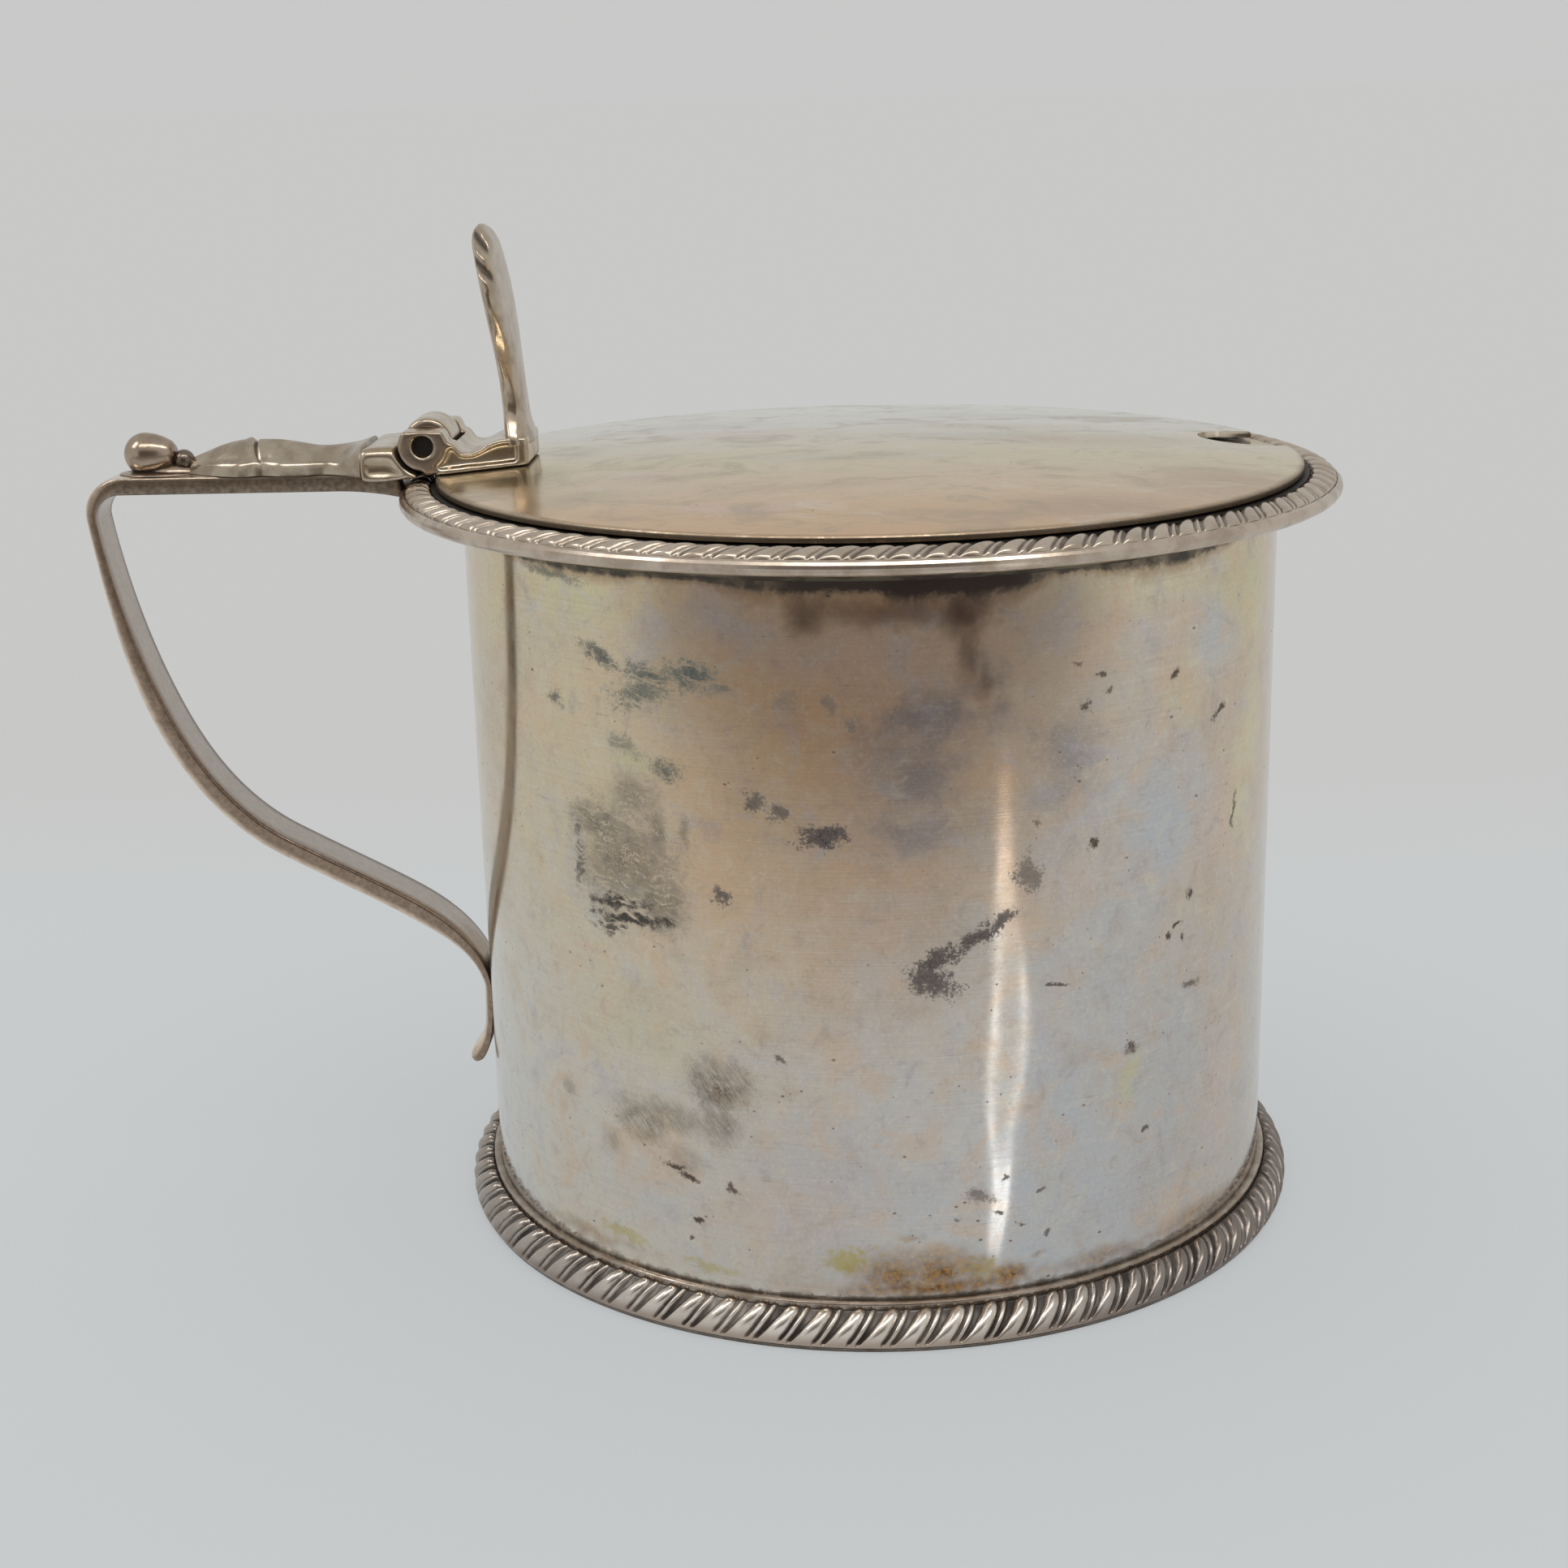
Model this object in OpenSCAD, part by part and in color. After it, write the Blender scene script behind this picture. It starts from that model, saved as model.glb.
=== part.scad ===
// Drum-shaped mustard pot of sheet silver. It has gadroon borders at the rim and the foot, a hinged
// lid with a spoon notch and a shell thumbpiece, a strap handle with a cast leaf, and a glass liner.
// Sizes are in millimetres. The table is z = 0, +Z is up and the handle is towards -X. The origin is
// under the middle of the whole length, from the handle to the rim, and the drum's axis is at axis_x.

/* [Drum] */
// Outside diameter of the drum
drum_d = 62; // [50:1:80]
// Height of the drum's mouth, which the lid closes on, above the table
drum_h = 57.35; // [50:0.05:75]
// Thickness of the drum's sheet
wall = 0.9; // [0.6:0.1:1.5]
// Height of the base plate's underside above the table
base_lift = 1.6; // [0.8:0.2:5]
// Thickness of the base plate
base_t = 0.8; // [0.5:0.1:1.5]

/* [Foot] */
// How far the foot's lobes stand out from the drum
foot_out = 2.3; // [1.8:0.1:4]
// Height of the foot up to the top of its fillet
foot_h = 3.05; // [2.6:0.05:6]
// Height of the fillet along the top of the foot
foot_fillet = 0.25; // [0.2:0.05:1]
// Height of the plain edge below the lobes
foot_edge = 0.3; // [0.2:0.1:0.8]
// Length along the foot of one wide lobe with its narrow rib
foot_pitch = 2.47; // [2:0.01:4]

/* [Rim] */
// How far the rim's lip stands out from the drum
rim_out = 4.7; // [4:0.1:8]
// Height of the rim from its underside at the drum to the mouth
rim_h = 2.65; // [2.2:0.05:4]
// Thickness of the rim's lip
lip_t = 1.1; // [0.8:0.1:1.6]
// Width of the rim's border, across the lobes
border_w = 2; // [1.4:0.1:2.4]
// Length along the rim of one wide lobe with its narrow rib
rim_pitch = 2.29; // [1.8:0.01:4]

/* [Gadroon] */
// Height of a wide lobe above the groove beside it
lobe_h = 0.42; // [0.2:0.02:0.6]
// How far a lobe leans sideways along the border, from its low end to its high end
lobe_lean = 1.8; // [0:0.1:3]

/* [Lid] */
// How far the lid's edge stands out from the drum
lid_out = 1.87; // [1.4:0.01:2.2]
// Thickness of the lid's sheet
lid_t = 0.5; // [0.4:0.05:1]
// Rise of the lid's dome from its edge to its middle
lid_dome = 1.2; // [0.4:0.1:5]
// Gap between the shut lid and the rim
lid_gap = 0.2; // [0.15:0.05:0.5]
// Radius of the spoon notch
notch_r = 4.3; // [2.5:0.1:6]
// Depth of the spoon notch, in from the lid's edge
notch_depth = 6.1; // [4.5:0.1:9]
// Turn of the spoon notch from the point opposite the handle
notch_turn = 12; // [-40:1:40]

/* [Hinge] */
// Width of the hinge over the lid's two lugs
hinge_w = 9.5; // [8:0.1:14]
// Diameter of the knuckle and the lugs
knuckle_d = 3.8; // [3.2:0.1:5]
// Width of the middle knuckle, which is on the handle
knuckle_w = 4.7; // [3:0.1:5.5]
// Diameter of the hinge pin
pin_d = 1.5; // [1:0.1:2]
// Depth of each pin end below the face of its lug
pin_sink = 0.8; // [0.2:0.1:1.2]
// Height left on a lug above the pin's axis, where its top is filed flat
lug_flat = 1.15; // [1.1:0.05:1.5]
// Length of the hinge block, back from the hinge's axis
block_l = 4.9; // [4:0.1:9]
// Height of the hinge block above the handle's bar
block_h = 2.75; // [2.4:0.05:4]

/* [Bracket and thumbpiece] */
// Length of the bracket on the lid, from the hinge's axis to its end
bracket_l = 7.8; // [6.5:0.1:12]
// Height of the bracket's top above the hinge's axis, at the thumbpiece
bracket_rise = 0.4; // [0.2:0.05:0.8]
// Width of the bracket's end, under the thumbpiece
bracket_end_w = 6.6; // [5:0.1:9]
// Depth of the sunk panels along the sides of the bracket and the hinge block
panel_sink = 0.45; // [0.2:0.05:0.8]
// Height of the thumbpiece above the bracket
thumb_h = 15.6; // [10:0.1:22]
// Greatest width of the thumbpiece, across the shell
thumb_w = 9.4; // [6:0.1:16]
// Width of the thumbpiece at its waist
thumb_waist = 4.8; // [3:0.1:6]
// Thickness of the thumbpiece at its foot
thumb_t = 1.8; // [1.2:0.1:2.4]
// How far the thumbpiece's tip leans towards the handle
thumb_lean = 2; // [0:0.1:4]

/* [Handle] */
// How far the handle stands out from the rim
handle_reach = 24.9; // [22:0.1:34]
// Width of the handle's strap
strap_w = 4.4; // [3:0.1:6]
// Thickness of the handle's strap along its bar
strap_t = 1; // [0.8:0.1:1.6]
// Thickness of the strap down its S, where its outer face is half round
curve_t = 1.9; // [1.2:0.1:2.6]
// Radius of the strap's middle line at the bend below the ball
bend_r = 2.5; // [1.5:0.1:4]
// Height at which the strap comes down to the drum
low_join = 18; // [14:0.5:24]
// Length of the tail below that, down to its tip
tail_l = 8.6; // [5:0.1:11]
// Thickness of the tail where it lies on the drum
tail_t = 0.8; // [0.5:0.1:1]
// How far the tail's tip curls out from the drum
tail_curl = 1.8; // [0.5:0.1:3]
// How much thicker the strap's bar grows, downwards, at the rim
bar_flare = 0.55; // [0:0.05:1]
// Width of the leaf at its widest
leaf_w = 5.6; // [4:0.1:9]
// Diameter of the ball, which is drawn out towards the bead
ball_d = 3.2; // [2.4:0.1:5]
// Distance of the ball's middle from the outside of the handle
ball_in = 4.95; // [3.6:0.05:7]
// Diameter of the bead
bead_d = 1.7; // [1.2:0.1:2.6]
// Length of the bead along the bar
bead_l = 1.1; // [0.8:0.1:2]
// Height of the short neck that carries the ball, and of the bead's
neck_h = 0.35; // [0.2:0.05:0.8]

/* [Liner] */
// Gap between the glass liner and the drum
liner_gap = 0.5; // [0.3:0.1:1.5]
// Thickness of the liner's wall
liner_t = 2; // [1.4:0.1:3]
// Thickness of the liner's floor
liner_floor = 2.6; // [1.6:0.1:5]
// Depth of the liner's edge below the drum's mouth
liner_drop = 0.8; // [0.3:0.1:6]

/* [Hidden] */
$fn = 128;

// Gap left for solder between two pieces, running clearance of the pin, and a cut's overshoot
solder = 0.01;
pin_play = 0.03;
over = 1;

silver = [0.76, 0.74, 0.70];
cast_silver = [0.72, 0.68, 0.62];
dark_silver = [0.55, 0.52, 0.48];
cobalt = [0.05, 0.09, 0.42, 0.6];

drum_r = drum_d / 2;
bore_r = drum_r - wall;

// The foot's plain core, which the border is soldered to
foot_r = drum_r + foot_out;
foot_core_r = drum_r + 0.55;
foot_top = foot_h - foot_fillet;

// The rim's lip, the step that the border sits on, and the flat that the lid closes on
rim_r = drum_r + rim_out;
lip_top = drum_h - 0.4;
lip_mid = lip_top - lip_t / 2;
border_out_r = rim_r - 0.45;
border_in_r = border_out_r - border_w;
border_top = drum_h + 0.25;
border_seat = lip_top - 0.15;

// The lid's edge and dome
lid_r = drum_r + lid_out;
lid_round = 0.3;
dome_r = lid_r - lid_round;
lid_low = drum_h + lid_gap;
lid_edge_top = lid_low + lid_t;
dome_steps = 12;
notch_mid_r = lid_r - notch_depth + notch_r;

// The hinge's axis lies along Y, just outside the lid's edge and one knuckle above it
knuckle_r = knuckle_d / 2;
hinge_x = -(lid_r + 0.55);
hinge_z = lid_edge_top + knuckle_r + 0.3;
cup_gap = 0.25;
side_gap = 0.06;

// The bracket on the lid
bracket_end_x = hinge_x + bracket_l;
bracket_top = hinge_z + bracket_rise;
rail_h = 0.42;
bracket_dip = 0.3;
taper_x = hinge_x + knuckle_r;
thumb_x = bracket_end_x - thumb_t / 2 - 0.2;

// The handle's bar runs level from the rim; its top carries the leaf, the bead and the ball
bar_top = drum_h + 0.25;
bar_mid = bar_top - strap_t / 2;
handle_x = -(rim_r + handle_reach);
strap_x = handle_x + strap_t / 2;
ball_x = handle_x + ball_in;
bead_x = ball_x + 0.7 * ball_d + bead_l / 2 + solder;
leaf_tip_x = bead_x + bead_l / 2 + solder;
block_back_x = hinge_x - block_l;

// Place of the drum's axis: the handle and the rim then reach equally far from the origin
axis_x = -(handle_x + rim_r) / 2;

// Liner
liner_r = bore_r - liner_gap;
liner_low = base_lift + base_t + solder;
liner_top = drum_h - liner_drop;

function flat(list) = [for (part = list) for (item = part) item];
function bezier(p, t) =
    pow(1 - t, 3) * p[0] + 3 * pow(1 - t, 2) * t * p[1] + 3 * (1 - t) * t * t * p[2] + pow(t, 3) * p[3];
function ease(a, b, t) = a + (b - a) * (3 - 2 * t) * t * t;

// Height on the lid's top surface at radius r
function dome_z(r) = lid_edge_top + lid_dome * (1 - pow(r / dome_r, 2));

// Two triangles for each cell between ring i and ring k of a net with n points a ring
function cell_faces(i, k, n) = flat([for (j = [0 : n - 1])
    let (a = i * n + j, b = i * n + (j + 1) % n, c = k * n + j, d = k * n + (j + 1) % n)
    [[a, c, b], [b, c, d]]]);

// Solid through a row of rings, closed at both ends
module loft(rings) {
    n = len(rings[0]);
    m = len(rings);
    sides = flat([for (i = [0 : m - 2]) cell_faces(i, i + 1, n)]);
    first = [for (j = [0 : n - 1]) j];
    last = [for (j = [n - 1 : -1 : 0]) (m - 1) * n + j];
    polyhedron(points = flat(rings), faces = concat([first], sides, [last]));
}

// Solid through rings that run round the pot and meet
module hoop(rings) {
    n = len(rings[0]);
    m = len(rings);
    polyhedron(points = flat(rings), faces = flat([for (i = [0 : m - 1]) cell_faces(i, (i + 1) % m, n)]));
}

// Place of each section within one lobe-and-rib pair, and its share of the lobe's height
pair_place = [0, 0.17, 0.49, 0.66, 0.83];
pair_height = [0, 1, 1, 0, 0.72];

// Gadroon border of the given number of pairs. Each point of the section is
// [radius, height, share of the lobe's height, place from the low end (0) to the high end (1)],
// and the lobes rise along the direction out = [radial, vertical].
module gadroon(section, out, pairs, mid_r) {
    steps = len(pair_place);
    lean = lobe_lean / mid_r * 180 / PI;
    back_r = min([for (p = section) p[0]]);
    hoop([for (k = [0 : pairs - 1], s = [0 : steps - 1])
        [for (p = section)
            let (rise = lobe_h * (pair_height[s] - 1) * p[2],
                 angle = (k + pair_place[s]) * 360 / pairs + lean * p[3],
                 r = max(back_r, p[0] + rise * out[0]))
            [r * cos(angle), r * sin(angle), p[1] + rise * out[1]]]]);
}

// Moves a piece drawn about the drum's axis to that axis's place
module placed() {
    translate([axis_x, 0, 0]) children();
}

// Turned solid from an outline in radius and height
module turned(outline) {
    rotate_extrude() polygon(outline);
}

// Slab of an outline in X and Z, of the given width across Y
module slab(outline, width) {
    rotate([90, 0, 0]) linear_extrude(height = width, center = true) polygon(outline);
}

// Cylinder along the hinge's axis
module axle(radius, width) {
    translate([hinge_x, 0, hinge_z]) rotate([90, 0, 0]) cylinder(r = radius, h = width, center = true);
}

module drum_wall() {
    color(silver) placed() turned([
        [bore_r, foot_edge], [drum_r, foot_edge], [drum_r, drum_h], [bore_r, drum_h]
    ]);
}

module base_plate() {
    color(silver) placed() translate([0, 0, base_lift]) cylinder(r = bore_r - solder, h = base_t);
}

module foot_ring() {
    inner = drum_r + solder;
    bead = (foot_core_r - inner) / 2;
    fillet = [for (a = [0 : 15 : 90]) [inner + bead + bead * cos(a), foot_top + foot_fillet * sin(a)]];
    color(cast_silver) placed() turned(concat(
        [[inner, 0], [foot_r - 0.35, 0], [foot_r - 0.2, foot_edge], [foot_core_r, foot_edge]],
        fillet,
        [[inner, foot_h]]
    ));
}

module foot_gadroon() {
    pairs = round(2 * PI * foot_r / foot_pitch);
    back = (foot_core_r + solder) / cos(180 / (pairs * len(pair_place))) + solder;
    low = foot_edge + solder;
    span = foot_r - foot_core_r;
    color(dark_silver) placed() gadroon([
        [back, foot_top, 0, 1],
        [foot_r - 0.7 * span, foot_top, 0.6, 1],
        [foot_r - 0.22 * span, low + 0.72 * (foot_top - low), 1, 0.72],
        [foot_r, low + 0.3 * (foot_top - low), 1, 0.3],
        [foot_r - 0.2, low, 0, 0],
        [back, low, 0, 0]
    ], [0.85, 0.53], pairs, foot_r);
}

module rim_flange() {
    inner = drum_r + solder;
    half = lip_t / 2;
    lip = [for (a = [-75 : 25 : 75]) [rim_r - half + half * cos(a), lip_mid + half * sin(a)]];
    color(cast_silver) placed() turned(concat(
        [[inner, drum_h - rim_h], [border_in_r, lip_mid - 1.5 * half]],
        lip,
        [[border_out_r, border_seat], [border_in_r, border_seat], [border_in_r, drum_h], [inner, drum_h]]
    ));
}

module rim_gadroon() {
    pairs = round(2 * PI * rim_r / rim_pitch);
    back = (border_in_r + solder) / cos(180 / (pairs * len(pair_place))) + solder;
    low = border_seat + solder;
    color(dark_silver) placed() gadroon([
        [back, border_top - 0.12, 0.5, 1],
        [border_out_r - 0.7 * border_w, border_top, 1, 0.7],
        [border_out_r - 0.3 * border_w, border_top - 0.25, 1, 0.3],
        [border_out_r, low + 0.3, 0.6, 0],
        [border_out_r - solder, low, 0, 0],
        [back, low, 0, 1]
    ], [0.3, 0.95], pairs, border_out_r);
}

// The S of the handle turns at a point s_out from the tail and s_up above the join, with a slope of s_drop in
// s_run. Its upper end starts with a fall of upper_fall and a lean of upper_lean, and its lower end comes in from
// lower_out and lower_up and meets the tail join_drop below the join. The tail's tip starts to curl at curl_up.
s_out = 15.6;
s_up = 9.85;
s_run = 8.95;
s_drop = 4.95;
upper_lean = 1.4;
upper_fall = 10;
lower_out = 1;
lower_up = 2.85;
join_drop = 2;
curl_up = 1.4;

// Middle line of the strap in X and Z: along the bar, round the bend, down the S and along the tail
strap_bend = [for (a = [0 : 10 : 90]) [strap_x + bend_r * (1 - sin(a)), bar_mid - bend_r * (1 - cos(a))]];
tail_x = -(drum_r + solder + tail_t / 2);
s_mid = [tail_x - s_out, low_join + s_up];
s_tilt = [s_run, -s_drop];
s_top = [strap_x, bar_mid - bend_r];
s_upper = [s_top, s_top + [upper_lean, -upper_fall], s_mid - s_tilt, s_mid];
tail_top = [tail_x, low_join - join_drop];
s_lower = [s_mid, s_mid + s_tilt, [tail_x - lower_out, low_join + lower_up], tail_top];
tail_tip = [tail_x - tail_curl, low_join - tail_l];
tail = [tail_top, [tail_x, low_join - 0.6 * tail_l], [tail_x, tail_tip[1] + curl_up], tail_tip];
flare_l = 5;
bar_steps = 5;
strap_line = concat(
    [for (i = [0 : bar_steps]) [-(rim_r + solder) - flare_l * i / bar_steps, bar_mid]],
    strap_bend,
    [for (i = [1 : 16]) bezier(s_upper, i / 16)],
    [for (i = [1 : 12]) bezier(s_lower, i / 12)],
    [for (i = [1 : 8]) bezier(tail, i / 8)]
);
strap_last = len(strap_line) - 1;

// Thickness of the strap at station i: the bar's to the bend, full down the S, thin along the tail, and
// a little thicker again where the tip curls
tip_t = 1.4 * tail_t;
full_from = bar_steps + 10;
thin_to = strap_last - 8;
thin_from = thin_to - 7;
function share(a, b, i) = min(1, max(0, (i - a) / (b - a)));
function strap_thickness(i) =
    i > strap_last - 4 ? ease(tail_t, tip_t, share(strap_last - 4, strap_last - 1, i))
    : i > thin_from ? ease(curve_t, tail_t, share(thin_from, thin_to, i))
    : ease(strap_t, curve_t, share(full_from, full_from + 9, i));

// Extra depth under the bar at station i, how round the outer face is there, and the drawing in of the
// last two stations to a round tip
function strap_flare(i) = bar_flare * pow(1 - share(0, bar_steps, i), 2);
function strap_crown(i) = share(bar_steps, full_from, i);
function strap_round(i) = i == strap_last ? 0.5 : i == strap_last - 1 ? 0.86 : 1;

// Half of the strap's section, flat inner face first: [share of the half width, share of the thickness],
// for the flat bar and for the half round S
flat_half = [[0.93, 0], [1, 0.15], [1, 0.72], [0.93, 0.94], [0.7, 0.99], [0, 1]];
round_half = [[0.95, 0], [1, 0.12], [0.99, 0.4], [0.87, 0.7], [0.58, 0.92], [0, 1]];
half_points = len(flat_half);

// Section of the strap at station i
function strap_ring(i) =
    let (ahead = strap_line[min(i + 1, strap_last)],
         behind = strap_line[max(i - 1, 0)],
         along = (ahead - behind) / norm(ahead - behind),
         outward = [along[1], -along[0]],
         thick = strap_thickness(i) * strap_round(i),
         half_w = strap_w / 2 * strap_round(i),
         crown = strap_crown(i),
         half = [for (k = [0 : half_points - 1]) flat_half[k] * (1 - crown) + round_half[k] * crown],
         drop = strap_flare(i),
         side = [for (q = half) [half_w * q[0], thick * (q[1] - 0.5) - drop * max(0, 1 - 2 * q[1])]],
         whole = concat([for (k = [0 : half_points - 1]) [-side[k][0], side[k][1]]],
                        [for (k = [half_points - 2 : -1 : 0]) side[k]]))
    [for (q = whole) let (c = strap_line[i] + outward * q[1]) [c[0], q[0], c[1]]];

module handle_strap() {
    color(cast_silver) placed() loft([for (i = [0 : len(strap_line) - 1]) strap_ring(i)]);
}

// The leaf from its tip at the bead (0) to the hinge block (1): its height and its width
leaf_end_w = hinge_w - 1;
leaf_heights = [[0, 1.5], [0.14, 2.15], [0.3, 2.75], [0.42, 2.8], [0.58, 2.55], [0.74, 2.2], [0.88, 2.4],
                [1, 2.65]];
leaf_widths = [[0, 1.6], [0.14, 0.8 * leaf_w], [0.36, leaf_w], [0.6, 0.8 * leaf_w], [0.76, 0.82 * leaf_w],
               [1, leaf_end_w]];
leaf_vein = 0.38;
leaf_steps = 28;
leaf_sides = 10;

// Section of the leaf at place t: a low arch with a raised midrib, nicked at the joint of its two lobes
function leaf_ring(t) =
    let (nick = 1 - 0.16 * max(0, 1 - abs(t - leaf_vein) / 0.035),
         h = lookup(t, leaf_heights) * nick,
         w = lookup(t, leaf_widths) * nick,
         x = leaf_tip_x + t * (block_back_x - solder - leaf_tip_x))
    [for (k = [0 : leaf_sides])
        let (a = 180 - 180 * k / leaf_sides, rib = 1 + 0.1 * max(0, 1 - abs(a - 90) / 30))
        [x, -w / 2 * cos(a), bar_top + solder + h / 1.1 * pow(sin(a), 0.7) * rib]];

module handle_leaf() {
    color(cast_silver) placed() loft([for (i = [0 : leaf_steps]) leaf_ring(i / leaf_steps)]);
}

// Turned drop on the bar, on a short neck that is soldered to it. The profile is [place along the bar,
// radius], both as shares of the drop's radius.
module bar_drop(x, radius, profile) {
    seat = bar_top + solder;
    translate([x, 0, seat + neck_h + radius]) rotate([0, 90, 0]) rotate_extrude()
        polygon([for (q = profile) [q[1] * radius, q[0] * radius]]);
    translate([x, 0, seat]) cylinder(r = 0.45 * radius, h = neck_h + radius);
}

module handle_bead() {
    slim = bead_l / bead_d;
    oval = [for (a = [-90 : 15 : 90]) [slim * sin(a), cos(a)]];
    color(cast_silver) placed() bar_drop(bead_x, bead_d / 2, oval);
}

module handle_ball() {
    color(cast_silver) placed() bar_drop(ball_x, ball_d / 2, concat(
        [for (a = [-90 : 10 : 10]) [sin(a), cos(a)]],
        [[0.4, 0.955], [0.65, 0.88], [0.9, 0.775], [1.15, 0.65], [1.32, 0.52], [1.39, 0.36], [1.4, 0]]
    ));
}

// Hinge block on the end of the bar. Its lip reaches over the rim and under the lid's lugs, its top is
// rounded across, and each side has a sunk panel.
module hinge_block() {
    low = bar_top + solder;
    top = bar_top + block_h;
    lip_low = border_top + 0.15;
    step_x = -(rim_r + 0.3);
    tip_x = hinge_x - 0.4;
    half_w = hinge_w / 2;
    top_round = 1.1;
    border = 0.45;
    side = [
        [block_back_x, low], [step_x, low], [step_x, lip_low], [tip_x, lip_low],
        [tip_x, hinge_z - knuckle_r], [hinge_x - knuckle_r, hinge_z], [hinge_x - knuckle_r, top],
        [block_back_x, top - 0.25]
    ];
    neck = [
        [hinge_x - knuckle_r - over, lip_low], [hinge_x, lip_low], [hinge_x, hinge_z],
        [hinge_x - knuckle_r - over, hinge_z]
    ];
    panel = [
        [block_back_x + border, low + border], [hinge_x, low + border],
        [hinge_x, top - top_round], [block_back_x + border, top - top_round]
    ];
    arch = concat(
        [[-half_w, low], [half_w, low]],
        [for (a = [0 : 15 : 90]) [half_w + top_round * (cos(a) - 1), top + top_round * (sin(a) - 1)]],
        [for (a = [90 : 15 : 180]) [-half_w + top_round * (cos(a) + 1), top + top_round * (sin(a) - 1)]]
    );
    color(cast_silver) placed() difference() {
        union() {
            difference() {
                intersection() {
                    slab(side, hinge_w);
                    translate([block_back_x, 0, 0]) rotate([90, 0, 90])
                        linear_extrude(height = block_l) polygon(arch);
                }
                difference() {
                    slab(panel, hinge_w + over);
                    slab(panel, hinge_w - 2 * panel_sink);
                    axle(knuckle_r + cup_gap + border, hinge_w + 2 * over);
                }
                axle(knuckle_r + cup_gap, hinge_w + over);
            }
            intersection() {
                slab(neck, knuckle_w);
                axle(knuckle_r + cup_gap + over, knuckle_w);
            }
            axle(knuckle_r, knuckle_w);
        }
        axle(pin_d / 2 + pin_play, hinge_w + over);
    }
}

module hinge_pin() {
    color(dark_silver) placed() axle(pin_d / 2, hinge_w - 2 * pin_sink);
}

module glass_liner() {
    soft = 0.9;
    inner_r = liner_r - liner_t;
    floor_z = liner_low + liner_floor;
    cove = 4;
    color(cobalt) placed() turned(concat(
        [[0, liner_low], [liner_r - soft, liner_low]],
        [for (a = [-60 : 30 : 0]) [liner_r - soft + soft * cos(a), liner_low + soft + soft * sin(a)]],
        [for (a = [0 : 30 : 180])
            [liner_r - liner_t / 2 + liner_t / 2 * cos(a), liner_top - liner_t / 2 + liner_t / 2 * sin(a)]],
        [for (a = [0 : -15 : -90]) [inner_r - cove + cove * cos(a), floor_z + cove + cove * sin(a)]],
        [[0, floor_z]]
    ));
}

module lid_plate() {
    edge = [for (a = [0 : 22.5 : 90])
        [dome_r + lid_round * cos(a), lid_edge_top - lid_round + lid_round * sin(a)]];
    top = [for (i = [1 : dome_steps]) let (r = dome_r * (1 - i / dome_steps)) [r, dome_z(r)]];
    under = [for (i = [0 : dome_steps]) let (r = dome_r * i / dome_steps) [r, dome_z(r) - lid_t]];
    color(silver) placed() difference() {
        turned(concat(under, [[lid_r, lid_low]], edge, top));
        rotate([0, 0, notch_turn]) translate([0, 0, lid_low - over]) {
            translate([notch_mid_r, 0, 0]) cylinder(r = notch_r, h = lid_dome + lid_t + 2 * over);
            translate([notch_mid_r, -notch_r, 0])
                cube([notch_depth, 2 * notch_r, lid_dome + lid_t + 2 * over]);
        }
    }
}

// The bracket's plan, drawn in by the given amount from its sides
module bracket_plan(sink) {
    wide = hinge_w / 2 - sink;
    narrow = bracket_end_w / 2 - sink;
    translate([0, 0, drum_h]) linear_extrude(height = bracket_top + over - drum_h) polygon([
        [hinge_x, -wide], [taper_x, -wide], [bracket_end_x, -narrow],
        [bracket_end_x, narrow], [taper_x, wide], [hinge_x, wide]
    ]);
}

// Everything below the lid's top surface, with room for solder
module lid_seat() {
    edge = [for (a = [0 : 22.5 : 90])
        [dome_r + (lid_round + solder) * cos(a), lid_edge_top - lid_round + (lid_round + solder) * sin(a)]];
    top = [for (i = [1 : dome_steps]) let (r = dome_r * (1 - i / dome_steps)) [r, dome_z(r) + solder]];
    turned(concat([[0, 0], [lid_r + solder, 0]], edge, top));
}

module lid_bracket() {
    low = lid_edge_top;
    slot_w = knuckle_w + 2 * side_gap;
    slot = [
        [hinge_x - knuckle_r, low - over], [hinge_x + 0.6 * knuckle_r, low - over],
        [hinge_x + 0.6 * knuckle_r, hinge_z], [hinge_x - knuckle_r, hinge_z]
    ];
    seat_x = bracket_end_x - thumb_t - 0.4;
    dip_z = bracket_top - bracket_dip;
    middle = [
        [hinge_x, low], [bracket_end_x, low], [bracket_end_x, bracket_top], [seat_x, bracket_top],
        [hinge_x, dip_z]
    ];
    top_rail = [
        [hinge_x, dip_z - rail_h], [seat_x, bracket_top - rail_h], [bracket_end_x, bracket_top - rail_h],
        [bracket_end_x, bracket_top], [seat_x, bracket_top], [hinge_x, dip_z]
    ];
    low_rail = [
        [hinge_x, low], [bracket_end_x, low], [bracket_end_x, dome_z(-bracket_end_x) + rail_h],
        [hinge_x, lid_edge_top + rail_h]
    ];
    post = [
        [bracket_end_x - 0.8, low], [bracket_end_x, low], [bracket_end_x, bracket_top],
        [bracket_end_x - 0.8, bracket_top]
    ];
    color(cast_silver) placed() difference() {
        union() {
            intersection() {
                slab(middle, hinge_w);
                bracket_plan(panel_sink);
            }
            intersection() {
                union() {
                    slab(top_rail, hinge_w);
                    slab(low_rail, hinge_w);
                    slab(post, hinge_w);
                }
                bracket_plan(0);
            }
            axle(knuckle_r, hinge_w);
        }
        axle(knuckle_r + cup_gap, slot_w);
        slab(slot, slot_w);
        axle(pin_d / 2 + pin_play, hinge_w + over);
        translate([hinge_x - knuckle_d, -hinge_w, hinge_z + lug_flat])
            cube([2 * knuckle_d, 2 * hinge_w, knuckle_d]);
        lid_seat();
    }
}

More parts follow.
